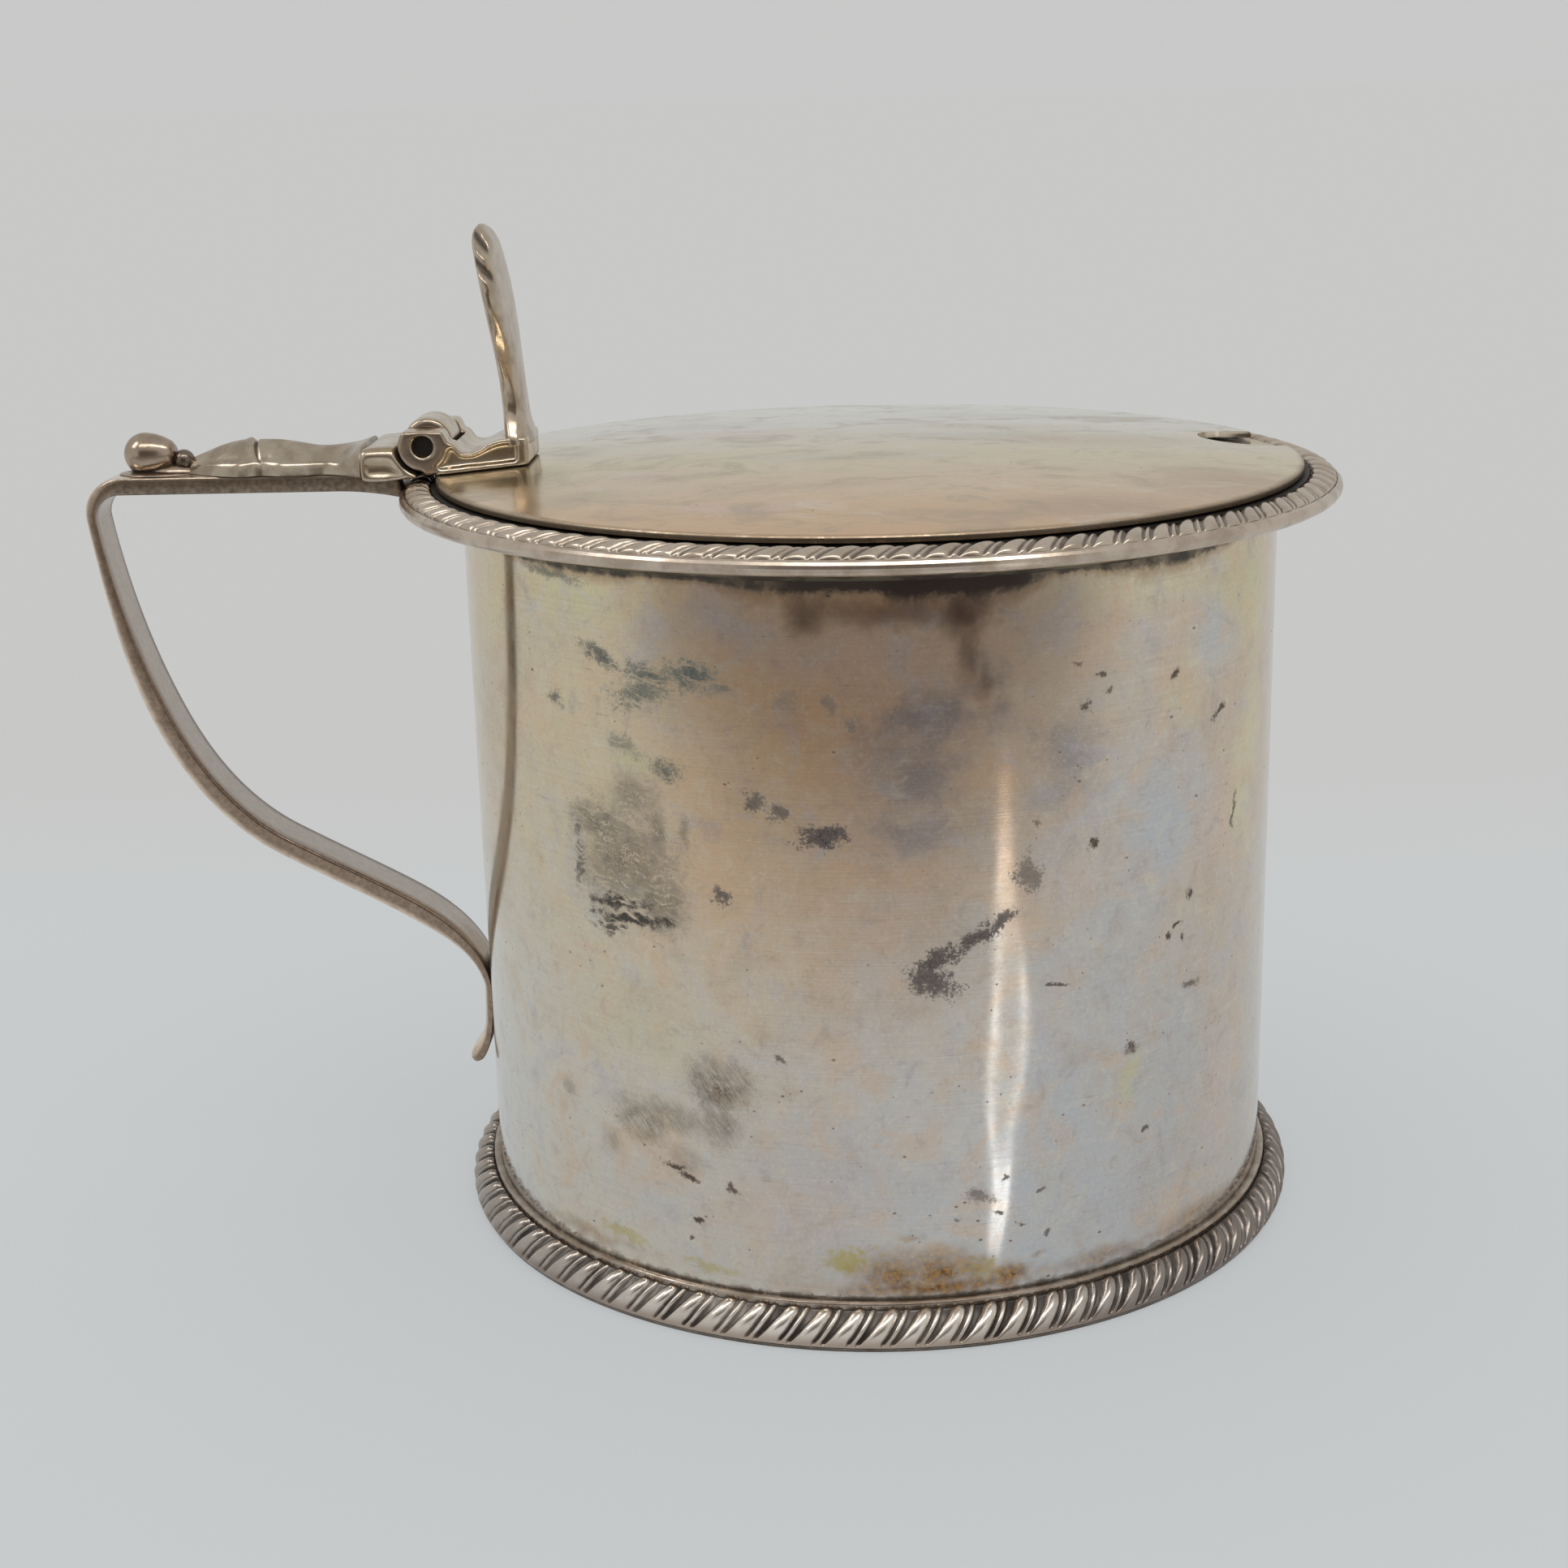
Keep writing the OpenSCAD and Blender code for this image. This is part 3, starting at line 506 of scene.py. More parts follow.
class Graph:
    """A node tree under construction."""

    def __init__(self, tree):
        self.tree = tree

    def feed(self, socket, value):
        if isinstance(value, Value):
            self.tree.links.new(value.socket, socket)
        elif socket.type == "RGBA":
            socket.default_value = (*value, 1)
        else:
            socket.default_value = value

    def add(self, kind, inputs=(), **settings):
        """A node with its settings, and its inputs as pairs of a place or name and a value."""
        node = self.tree.nodes.new(kind)
        for key, value in settings.items():
            setattr(node, key, value)
        for key, value in dict(inputs).items():
            self.feed(node.inputs[key], value)
        return node

    def out(self, node, key=0):
        return Value(self, node.outputs[key])

    def math(self, operation, *values):
        return self.out(self.add("ShaderNodeMath", enumerate(values), operation=operation))

    def vector(self, operation, *values):
        return self.out(self.add("ShaderNodeVectorMath", enumerate(values), operation=operation), "Vector")

    def length(self, vector):
        return self.out(self.add("ShaderNodeVectorMath", {0: vector}, operation="LENGTH"), "Value")

    def scaled(self, vector, shares):
        return self.vector("MULTIPLY", vector, shares)

    def split(self, vector):
        node = self.add("ShaderNodeSeparateXYZ", {0: vector})
        return [Value(self, socket) for socket in node.outputs]

    def join(self, x, y):
        return self.out(self.add("ShaderNodeCombineXYZ", {0: x, 1: y, 2: 0}))

    def turned(self, vector, degrees):
        inputs = {"Vector": vector, "Angle": math.radians(degrees)}
        return self.out(self.add("ShaderNodeVectorRotate", inputs, rotation_type="Z_AXIS"))

    def noise(self, vector, scale, detail, roughness, distortion=0):
        return self.out(self.add("ShaderNodeTexNoise", {
            "Vector": vector, "Scale": scale, "Detail": detail, "Roughness": roughness, "Distortion": distortion,
        }), "Fac")

    def bent(self, face, place, scale, detail, reach):
        """Places on a face, moved about by noise so that what is drawn there has no straight edges."""
        node = self.add("ShaderNodeTexNoise", {"Vector": place, "Scale": scale, "Detail": detail})
        wander = self.vector("SUBTRACT", self.out(node, "Color"), (0.5, 0.5, 0.5))
        return self.vector("ADD", face, self.scaled(wander, reach))

    def cells(self, vector, scale):
        return self.out(self.add("ShaderNodeTexVoronoi", {"Vector": vector, "Scale": scale}), "Distance")

    def step(self, value, low, high, to_low=0, to_high=1):
        return self.out(self.add("ShaderNodeMapRange", enumerate((value, low, high, to_low, to_high)),
                                 interpolation_type="SMOOTHSTEP"))

    def mix(self, share, a, b):
        return self.out(self.add("ShaderNodeMix", {"Factor": share, 6: a, 7: b}, data_type="RGBA"), 2)

    def tone(self, mask, low, high, a, b):
        return self.mix(self.step(mask, low, high), a, b)

    def ramp(self, value, stops):
        """Colour at a value from 0 to 1, from (place, colour) stops."""
        node = self.add("ShaderNodeValToRGB", {0: value})
        node.color_ramp.interpolation = "EASE"
        elements = node.color_ramp.elements
        while len(elements) < len(stops):
            elements.new(0.5)
        for element, (place, _) in zip(elements, stops):
            element.position = place
        for element, (_, colour) in zip(elements, stops):
            element.color = (*colour, 1)
        return self.out(node)

    def bump(self, height, distance, normal=None):
        node = self.add("ShaderNodeBump", {"Strength": 1, "Distance": distance * MM, "Height": height})
        if normal:
            self.feed(node.inputs["Normal"], normal)
        return self.out(node)

    def local(self):
        """The piece's own coordinates, in metres."""
        return self.out(self.add("ShaderNodeTexCoord"), "Object")

    def place(self):
        """Millimetres about the drum's axis."""
        return self.vector("MULTIPLY_ADD", self.local(), (1 / MM,) * 3, (-AXIS_X, 0, 0))

    def attribute(self, name):
        return self.out(self.add("ShaderNodeAttribute", attribute_name=name), "Fac")

    def seen(self):
        """1 for what the camera, metal and glass see, and 0 for light on its way to a matt surface."""
        node = self.add("ShaderNodeLightPath")
        camera, glossy, through = (self.out(node, f"Is {kind} Ray") for kind in ("Camera", "Glossy", "Transmission"))
        return camera | glossy | through

    def strokes(self, face, degrees, length, width, low, high):
        """Fine broken strokes lying at an angle."""
        along = self.scaled(self.turned(face, -degrees), (1 / length, 1 / width, 1))
        return self.step(self.noise(along, 1, 3, 0.6), low, high)

    def blots(self, face, spots, ragged, soft):
        """Mask of ragged patches. A spot is (x, y, half width, half height, weight, turn in degrees or none)."""
        total = None
        for x, y, a, b, weight, *turn in spots:
            spot = self.vector("SUBTRACT", face, (x, y, 0))
            if turn:
                spot = self.turned(spot, -turn[0])
            far = self.length(self.scaled(spot, (1 / a, 1 / b, 0)))
            mask = self.step(far + ragged, 1 + soft * 0.3, 1 - soft, 0, weight)
            total = total | mask if total else mask
        return total


class Coat(Graph):
    """A material under construction, whose colour is painted on in layers."""

    def __init__(self, name):
        self.material = bpy.data.materials.new(name)
        self.material.use_nodes = True
        super().__init__(self.material.node_tree)
        self.tree.nodes.clear()
        self.shader = self.add("ShaderNodeBsdfPrincipled")
        output = self.add("ShaderNodeOutputMaterial")
        self.tree.links.new(self.shader.outputs[0], output.inputs["Surface"])
        self.colour = None

    def set(self, name, value):
        self.feed(self.shader.inputs[name], value)

    def paint(self, share, colour):
        self.colour = self.mix(share, self.colour, colour)

    def wash(self, face, colour, spots, ragged, soft=1):
        self.paint(self.blots(face, spots, ragged, soft), colour)

    def tints(self, *rows):
        """Paints colours where masks rise from low to high. A row is (mask, low, high, weight, colour)."""
        for mask, low, high, weight, colour in rows:
            self.paint(self.step(mask, low, high, 0, weight), colour)

    def finish(self, metallic, roughness, normal):
        self.set("Base Color", self.colour)
        self.set("Metallic", metallic)
        self.set("Roughness", roughness)
        self.set("Normal", normal)
        return self.material


def drum_silver():
    """Polished sheet with a film of many colours, stains where the photograph has them, soot and painted shade at the
    rim, and a painted dark reflection below the rim at the front.
    """
    g = Coat("sheet_silver_drum")
    p = g.place()
    x, y, z = g.split(p)
    arc = g.math("ARCTAN2", x, y * -1) * DRUM_R
    flat_face = g.join(arc, z)

    cloud = g.noise(p, 0.07, 5, 0.6, 0.6)
    mottle = g.noise(p, 0.28, 5, 0.65, 0.4)
    patchy = g.noise(p, 0.55, 5, 0.7, 0.5)
    grain = g.noise(p, 1.7, 4, 0.7)
    fine = g.noise(p, 3.4, 3, 0.7)
    speck = g.noise(p, 5, 3, 0.75)
    hue = g.noise(p, 0.2, 5, 0.62, 0.9)
    tint = g.noise(g.vector("ADD", p, (37, 11, 5)), 0.55, 5, 0.66, 0.7)
    brush = g.noise(g.scaled(p, (0.07, 0.07, 9)), 1, 4, 0.7)
    face = g.bent(flat_face, p, 0.16, 3, (6, 4, 0))
    near_face = g.bent(flat_face, p, 0.7, 4, (2.2, 1.6, 0))
    loose = (cloud + mottle - 1) * 1.3
    ragged = (patchy + mottle - 1) * 1.7
    torn = (grain - 0.5) * 3.4
    frayed = (speck - 0.5) * 2.6 + torn * 0.55

    # The film's colour round the drum, near its mouth and near its foot
    round_place = (arc + (cloud - 0.5) * 16) * (1 / GIRTH) + 0.5
    high_tone = g.ramp(round_place, [
        (0, (0.68, 0.61, 0.5)), (0.3, (0.7, 0.63, 0.49)), (0.39, (0.78, 0.67, 0.49)), (0.45, (0.78, 0.63, 0.46)),
        (0.5, (0.74, 0.6, 0.48)), (0.55, (0.71, 0.61, 0.5)), (0.6, (0.7, 0.61, 0.52)), (0.67, (0.7, 0.59, 0.48)),
        (1, (0.68, 0.61, 0.5)),
    ])
    low_tone = g.ramp(round_place, [
        (0, (0.66, 0.63, 0.58)), (0.3, (0.78, 0.78, 0.74)), (0.4, (0.76, 0.72, 0.64)), (0.47, (0.69, 0.65, 0.6)),
        (0.52, (0.71, 0.69, 0.66)), (0.57, (0.64, 0.65, 0.66)), (0.62, (0.62, 0.6, 0.58)), (0.68, (0.66, 0.6, 0.53)),
        (1, (0.66, 0.63, 0.58)),
    ])
    g.colour = g.tone(z + (mottle - 0.5) * 26, 10, 40, low_tone, high_tone)
    film = g.ramp(g.noise(p, 0.11, 4, 0.55, 1), [
        (0.28, (0.8, 0.72, 0.5)), (0.42, (0.8, 0.6, 0.44)), (0.52, (0.66, 0.58, 0.58)), (0.62, (0.56, 0.6, 0.66)),
        (0.74, (0.74, 0.74, 0.62)),
    ])
    behind = g.step(abs(arc), 40, 60, 0.12, 0.5)
    g.paint(behind * g.step(patchy, 0.3, 0.7, 0.4, 1), film)

    # Broad patches of film: straw, copper, grey, plum, blue, rose and olive
    g.wash(face, (0.82, 0.75, 0.5), [
        (-22, 53.4, 9, 1.9, 0.6), (-33, 51, 4, 4.5, 0.5), (20, 53, 9, 2.2, 0.5), (33, 49.5, 5, 5, 0.8),
        (33.5, 38, 2.6, 9, 0.65), (25, 45, 4, 3, 0.35),
    ], loose)
    g.wash(face, (0.8, 0.58, 0.4), [
        (-4.5, 44.5, 6.5, 6, 0.75), (-11, 36, 4, 8, 0.55), (-9, 47.5, 5, 2.5, 0.5), (0.5, 34.2, 7, 1.5, 0.5),
        (8.5, 41.5, 2.6, 2, 0.45), (2, 53.4, 5, 0.9, 0.8),
    ], loose)
    g.wash(face, (0.6, 0.58, 0.6), [
        (-10, 51, 8, 1.9, 0.6), (-3, 49.5, 5, 2, 0.35), (-2, 12, 9, 6, 0.4), (-16, 9, 7, 5, 0.3),
    ], loose)
    g.wash(face, (0.36, 0.33, 0.34), [
        (3.6, 45.4, 5, 3.2, 0.85, 12), (2.4, 41.5, 4.2, 3.2, 0.8, -20), (2.6, 38, 4.8, 2, 0.7),
        (13.6, 42.2, 3.4, 3.2, 0.7, -30), (13.2, 39.6, 4.2, 1.4, 0.5),
    ], ragged, 1.1)
    g.wash(face, (0.59, 0.61, 0.63), [
        (21, 35.5, 7, 6.5, 0.8), (17.5, 28, 5, 6, 0.55), (27.5, 48, 3.4, 3.2, 0.7), (24, 20, 7, 7, 0.45),
        (12.5, 17, 3.2, 6, 0.45),
    ], loose)
    g.wash(face, (0.76, 0.63, 0.57), [
        (30, 14, 4, 8, 0.6), (14, 33.5, 4.4, 1.8, 0.5, 20), (-6, 9, 7, 3, 0.45), (28, 33, 3, 5, 0.45),
    ], loose)
    g.wash(face, (0.7, 0.66, 0.45), [
        (-19, 22, 7, 4, 0.4), (19.7, 17.5, 1.3, 2, 0.8), (-17.5, 41.2, 2.2, 1, 0.6), (23, 45.8, 2.2, 1.6, 0.5),
        (32.5, 51.6, 6, 3.4, 0.8), (-22, 52.5, 8, 2, 0.5),
    ], loose)
    g.tints((hue, 0.5, 0.68, 0.5, (0.8, 0.61, 0.46)), (hue, 0.48, 0.32, 0.45, (0.62, 0.6, 0.63)),
            (tint, 0.52, 0.7, 0.4, (0.82, 0.75, 0.61)), (tint, 0.46, 0.3, 0.4, (0.5, 0.43, 0.4)))
    g.colour = g.out(g.add("ShaderNodeHueSaturation", {"Saturation": 1.2, "Value": 0.985, "Color": g.colour}))
    g.tints((mottle, 0.5, 0.74, 0.3, (0.52, 0.42, 0.33)), (brush, 0.52, 0.72, 0.2, (0.42, 0.36, 0.31)),
            (brush, 0.46, 0.3, 0.16, (0.92, 0.88, 0.82)), (grain, 0.52, 0.78, 0.24, (0.38, 0.32, 0.27)),
            (fine, 0.5, 0.3, 0.2, (0.92, 0.88, 0.82)))

    # Masks of the stains and marks, and of a dark reflection painted at the front below the rim
    # Dark brown patches: painted reflection at the front below the rim, stains at the sides
    reflection_and_stain = g.blots(near_face, [
        (-4.3, 52.3, 2, 1.9, 0.8), (6.1, 52.5, 2.1, 2.2, 0.95), (6.4, 50, 1.2, 2.6, 0.6), (0.6, 52.6, 7.5, 1.3, 0.6),
        (7.6, 47.6, 0.8, 1.6, 0.5), (88, 51, 5, 2, 0.6), (-50, 52.5, 6, 1.4, 0.6),
    ], loose * 0.5, 1)
    across_marks = g.strokes(near_face, -9, 2.4, 0.3, 0.36, 0.5)
    down_marks = g.strokes(flat_face, -52, 1.3, 0.13, 0.4, 0.58)
    moss = g.blots(near_face, [
        (-12.2, 48, 2.7, 1.3, 1, -8), (-15.6, 47.6, 2.4, 1.1, 0.95, -8), (-16.3, 46.4, 3, 1.3, 0.85, 12),
        (-19.6, 48.6, 2.4, 0.6, 0.95, -24), (-14.6, 41.2, 1.5, 0.8, 0.9), (-18, 42.6, 2, 0.7, 0.6, -20),
        (-24.4, 45, 0.8, 0.6, 0.9, -30), (-10, 47.3, 1.6, 0.7, 0.8, -12), (-24.5, 53.9, 3.4, 0.5, 0.7, -4),
    ], frayed, 0.8) * (across_marks * 0.6 + 0.4)
    lines = across_marks | g.step(speck, 0.46, 0.58)
    ash = g.blots(near_face, [
        (-18.3, 34.2, 5.4, 5, 0.85), (-20.6, 36.4, 3.4, 1.9, 0.9, -14), (-15.4, 31.6, 2.6, 3, 0.9),
        (-17.4, 38.8, 3, 2, 0.7), (-15.4, 36.4, 1.2, 2.6, 0.8), (-13.3, 37, 0.7, 1.4, 0.7),
    ], ragged * 0.5 + frayed * 0.6, 0.7) * (lines * 0.6 + g.step(patchy, 0.38, 0.6, 0.1, 0.36))
    bars = g.blots(near_face, [
        (-18.9, 31, 3, 0.55, 1, 4), (-18, 30, 3.9, 0.42, 1, 4), (-20.2, 29, 2, 0.45, 0.9, 4),
        (-22.6, 33.6, 0.5, 2.6, 0.7),
    ], torn * 0.6, 0.6) * across_marks
    steel = g.blots(near_face, [
        (-3.5, 37.3, 2, 0.95, 1), (-8.1, 39.5, 0.8, 0.75, 0.85), (-6.5, 38.9, 0.75, 0.7, 0.85),
        (-10.6, 32.8, 0.6, 0.8, 0.9, 30), (-5.7, 46.5, 1.2, 0.8, 0.6, 30), (-2.6, 46.3, 0.6, 0.8, 0.7),
        (-1.3, 45, 0.5, 0.6, 0.7), (7, 29.9, 2.5, 0.7, 1, 26), (4.2, 28.4, 2.1, 0.9, 1, 30),
        (4, 26.9, 2, 1.2, 0.95, -24), (8.9, 30.9, 1.1, 0.5, 0.9, 30), (10.8, 34, 0.9, 1.6, 0.75),
    ], frayed, 0.5)
    scuff = g.blots(near_face, [
        (-11.2, 18.6, 3.1, 2.4, 1, -18), (-11.2, 15.8, 1.9, 2.2, 0.75), (-17.9, 14.8, 2.9, 2, 0.8, -14),
        (-15, 15.6, 5, 1.3, 0.6, -8), (-14.2, 12.4, 1.8, 1.4, 0.5), (-25.2, 15.6, 0.9, 0.8, 0.6, -40),
        (-20.6, 12.4, 1.4, 1.4, 0.5),
    ], ragged * 0.5 + frayed * 0.5, 0.7) * (down_marks * 0.35 + g.step(patchy, 0.36, 0.58, 0.25, 0.65))
    dots = g.blots(near_face, [
        (15.6, 35.4, 0.42, 0.36, 1), (25.1, 29.9, 0.5, 0.5, 1), (23.1, 46.3, 0.6, 0.4, 1, 20),
        (28.4, 42.6, 0.9, 0.35, 1, 24), (15, 45.3, 0.6, 0.4, 0.9), (16.2, 47.3, 0.45, 0.25, 0.9, 20),
        (14.4, 48.4, 0.5, 0.2, 0.8), (16.6, 46.1, 0.3, 0.25, 0.8), (22.9, 27.3, 0.4, 0.3, 1),
        (24.5, 26.6, 0.35, 0.3, 1), (23.9, 27.7, 0.3, 0.25, 1), (12.9, 25.7, 1.2, 0.16, 0.9, -8),
        (-15.1, 11.9, 1, 0.3, 1, -12), (-13.7, 11.1, 0.9, 0.3, 1, -16), (-10.5, 10.9, 0.5, 0.35, 0.9),
        (-13.4, 8.2, 0.4, 0.3, 1, -20), (-13.7, 6.4, 0.3, 0.25, 0.9), (19.3, 19.6, 0.8, 0.5, 0.9),
        (21, 13, 0.3, 0.3, 0.9), (7.2, 10.6, 1.2, 0.5, 0.7, -10), (-6.6, 21.2, 0.7, 0.3, 0.8, -30),
        (31.2, 34.5, 0.35, 1.7, 0.9, -12), (25.5, 22.8, 1.2, 0.3, 0.8, -6), (11.6, 37.4, 0.3, 0.3, 0.7),
        (8.4, 9.2, 0.5, 0.22, 0.9, -10), (10.2, 8.3, 0.4, 0.2, 0.9), (11.8, 10.4, 0.5, 0.2, 0.8, 12),
        (9.2, 11.6, 0.35, 0.2, 0.8), (12.4, 7, 0.4, 0.22, 0.8), (5.6, 9, 0.4, 0.18, 0.7),
    ], frayed * 0.8, 0.6)
    rust = g.blots(near_face, [
        (4.6, 5, 4.4, 2, 1), (1.2, 5, 3.6, 1.9, 0.95), (9.2, 4.2, 2.2, 1.3, 1), (4, 3.9, 8.5, 1.1, 1),
        (17, 4, 5.5, 0.9, 0.6), (27, 4.3, 6, 1, 0.6), (3, 6, 5, 1.4, 0.6), (11.6, 5.6, 0.8, 0.4, 0.5),
        (2.4, 7.6, 1, 0.5, 0.5), (26, 4.2, 7, 0.6, 0.5), (-24, 4.3, 6, 0.7, 0.5), (70, 4.4, 9, 1.2, 0.6),
        (-72, 4.3, 9, 1, 0.6),
    ], torn * 0.35 + loose * 0.5, 1.1)
    yolk = g.blots(near_face, [
        (-1.9, 6.2, 2, 1, 0.8), (7.4, 4.9, 1.4, 0.9, 0.6), (-12.6, 4.4, 2.2, 0.5, 0.6, -6),
        (-19.6, 5.2, 2.6, 0.5, 0.6, -8),
    ], torn, 0.8)

    # Soot and painted shade under the rim, fading into a brown fringe of painted shade below it, and a dark line along
    # the top of the foot
    band = g.blots(flat_face, [
        (5, 54, 7.5, 30, 1), (-2, 54, 10, 30, 0.6), (22, 54, 7, 30, 0.42), (-22, 54, 9, 30, 0.22),
        (80, 54, 20, 30, 0.6), (-75, 54, 15, 30, 0.6),
    ], loose * 0.3, 0.8)
    reach = (band * 1.25 + 0.2) * g.step(patchy, 0.28, 0.62, 0.65, 1.15)
    below_rim = (RIM_UNDER - (torn * 0.07 + ragged * 0.12 + z)) / reach
    soot_and_shade = g.step(below_rim, 1.35, 0.55) * (g.step(band, 0.25, 0.6) | g.step(patchy, 0.36, 0.62, 0.6, 1))
    shade_fringe = g.step(below_rim, 2.8, 0.8, 0, 0.6)
    above_foot = z + torn * 0.2 - FOOT_H
    soot_and_shade = soot_and_shade | g.step(above_foot, g.step(patchy, 0.3, 0.7, 0.12, 0.75), 0, 0, 0.92)
    inside = g.step(g.length(g.join(x, y)), 30.7, 30.4, 0, 0.45)

    # Pits, specks and fine lines all over, and smudges on the side that the photograph doesn't show
    pits = g.step(g.cells(g.scaled(p, (1, 1, 1.6)), 0.5), 0.1, 0.05) * g.step(g.noise(p, 0.19, 2, 0.5), 0.49, 0.6)
    specks = g.step(g.cells(p, 1.3), 0.14, 0.06) * g.step(g.noise(p, 0.3, 3, 0.6), 0.51, 0.63)
    hair = g.step(g.noise(g.scaled(p, (0.35, 0.35, 11)), 1, 2, 0.5), 0.69, 0.75, 0, 0.45)
    marks = dots | pits * 0.8 | specks * 0.7
    back = g.step(abs(arc), 38, 48)
    smudge = g.step(frayed * 0.04 + g.noise(p, 0.085, 3, 0.5, 0.2), 0.54, 0.72, 0, 0.6)
    stain = g.step(frayed * 0.05 + g.noise(p, 0.23, 2, 0.5, 0.2), 0.68, 0.75, 0, 0.85)

    g.paint(smudge * back, (0.36, 0.31, 0.27))
    g.paint(stain * back, (0.12, 0.105, 0.09))
    g.paint(scuff, g.tone(speck, 0.4, 0.62, (0.35, 0.275, 0.2), (0.16, 0.12, 0.095)))
    g.paint(ash, g.tone(speck, 0.42, 0.62, (0.28, 0.24, 0.19), (0.1, 0.085, 0.065)))
    g.paint(yolk, (0.55, 0.46, 0.16))
    g.paint(rust, g.tone(fine, 0.36, 0.62, (0.42, 0.23, 0.065), (0.13, 0.06, 0.02)))
    # Painted shade: a brown fringe below the rim
    g.paint(shade_fringe, (0.37, 0.235, 0.135))
    # Painted dark reflection at the front below the rim, with stains at the sides
    g.paint(reflection_and_stain, (0.15, 0.1, 0.08))
    g.paint(moss, g.tone(speck, 0.4, 0.6, (0.19, 0.21, 0.18), (0.07, 0.075, 0.065)))
    g.paint(bars, (0.07, 0.06, 0.05))
    g.paint(steel, g.tone(speck, 0.42, 0.62, (0.16, 0.13, 0.12), (0.07, 0.06, 0.055)))
    g.paint(hair * g.step(mottle, 0.45, 0.62), (0.2, 0.16, 0.13))
    g.paint(marks, (0.11, 0.08, 0.06))
    g.paint(inside, (0.45, 0.37, 0.28))
    # Soot and painted shade under the rim, and the dark line along the foot
    g.paint(soot_and_shade, g.tone(band, 0.3, 0.8, (0.075, 0.066, 0.048), (0.042, 0.026, 0.019)))

    dull = soot_and_shade | moss | steel | bars | rust | marks | ash * 0.6
    rough = g.step(mottle, 0.35, 0.7) * 0.06 + 0.07 + brush * 0.05 + dull * 0.3
    wavy = g.bump(g.noise(p, 0.11, 2, 0.5), 0.035)
    lines = g.noise(g.scaled(p, (0.1, 0.1, 9)), 1, 3, 0.7)
    return g.finish(1 - dull * 0.55, rough, g.bump(lines, 0.002, wavy))


def lid_silver():
    """Polished sheet, painted warmer and darker towards the front and pale towards the back as painted reflection, with
    patches of colour, scratches and a dull edge.
    """
    g = Coat("sheet_silver_lid")
    p = g.place()
    x, y, z = g.split(p)
    flat_face = g.join(x, y)
    cloud = g.noise(p, 0.06, 5, 0.6, 0.8)
    mottle = g.noise(g.scaled(p, (0.75, 1, 1)), 0.22, 5, 0.66, 0.9)
    grain = g.noise(p, 1.5, 4, 0.7)
    face = g.bent(flat_face, p, 0.14, 3, (7, 7, 0))
    loose = (cloud + mottle - 1) * 1.4
    # Painted reflection: warmer and darker towards the front, pale towards the back
    g.colour = g.ramp((y + (mottle - 0.5) * 15) * (1 / 66) + 0.5, [
        (0, (0.84, 0.61, 0.42)), (0.1, (0.86, 0.66, 0.47)), (0.23, (0.86, 0.72, 0.55)), (0.38, (0.86, 0.77, 0.59)),
        (0.53, (0.86, 0.81, 0.69)), (0.7, (0.91, 0.89, 0.83)), (0.95, (0.95, 0.95, 0.9)),
    ])
    g.wash(face, (0.7, 0.55, 0.42), [
        (15, -25, 9, 4.5, 0.85), (25, -16, 6, 8, 0.85), (5, -27.5, 7, 2, 0.6), (16, 2, 9, 4, 0.55),
        (-4, -18, 9, 2, 0.4), (10, 10, 10, 3, 0.3),
    ], loose)
    g.wash(face, (0.56, 0.51, 0.38), [
        (-26, -9, 4.5, 7, 0.85), (-22, 2, 3, 4, 0.5), (-20, -19, 5, 3, 0.4),
    ], loose)
    g.wash(face, (0.84, 0.7, 0.64), [
        (-16, -12, 5, 4, 0.7), (-8, -24, 6, 2.4, 0.6), (12, -12, 9, 2.4, 0.5), (-10, 8, 8, 3, 0.4),
    ], loose)
    g.wash(face, (0.7, 0.7, 0.64), [
        (-2, -6, 12, 2.2, 0.5), (6, 4, 8, 2, 0.5), (-14, 14, 8, 3, 0.4), (14, 18, 9, 3, 0.4),
    ], loose)
    scratch = g.noise(g.scaled(g.turned(p, -12), (0.5, 5, 1)), 1, 3, 0.6)
    cross = g.noise(g.scaled(g.turned(p, 64), (0.22, 7, 1)), 1, 3, 0.6)
    g.tints((mottle, 0.48, 0.7, 0.5, (0.56, 0.47, 0.37)), (mottle, 0.46, 0.3, 0.35, (0.93, 0.9, 0.82)),
            (grain, 0.52, 0.8, 0.18, (0.42, 0.36, 0.3)), (scratch, 0.6, 0.72, 0.42, (0.42, 0.36, 0.3)),
            (cross, 0.66, 0.74, 0.25, (0.46, 0.4, 0.34)))
    specks = g.step(g.cells(p, 0.75), 0.11, 0.05) * g.step(g.noise(p, 0.22, 3, 0.6), 0.54, 0.66, 0, 0.8)
    g.paint(specks, (0.16, 0.13, 0.11))
    radius = g.length(flat_face) + (mottle - 0.5) * 0.7
    edge = g.step(radius, 32.3, 32.85, 0, 0.7)
    # Painted shade under the lid's edge
    under = g.step(z, 57.98, 57.8) * g.step(radius, 30.6, 32, 0.18, 0.9)
    g.paint(edge * g.step(z, 58.25, 57.9), (0.3, 0.23, 0.16))
    g.paint(under, (0.09, 0.07, 0.05))
    g.set("Specular Tint", g.mix(0.55, g.colour, (1, 1, 1)))
    matt = edge * g.step(grain, 0.3, 0.6, 0.1, 0.4) + 0.13
    wavy = g.bump(scratch, 0.003, g.bump(g.noise(p, 0.09, 2, 0.5), 0.045))
    return g.finish(1, g.step(mottle, 0.35, 0.7) * 0.09 + matt, g.bump(cross, 0.002, wavy))


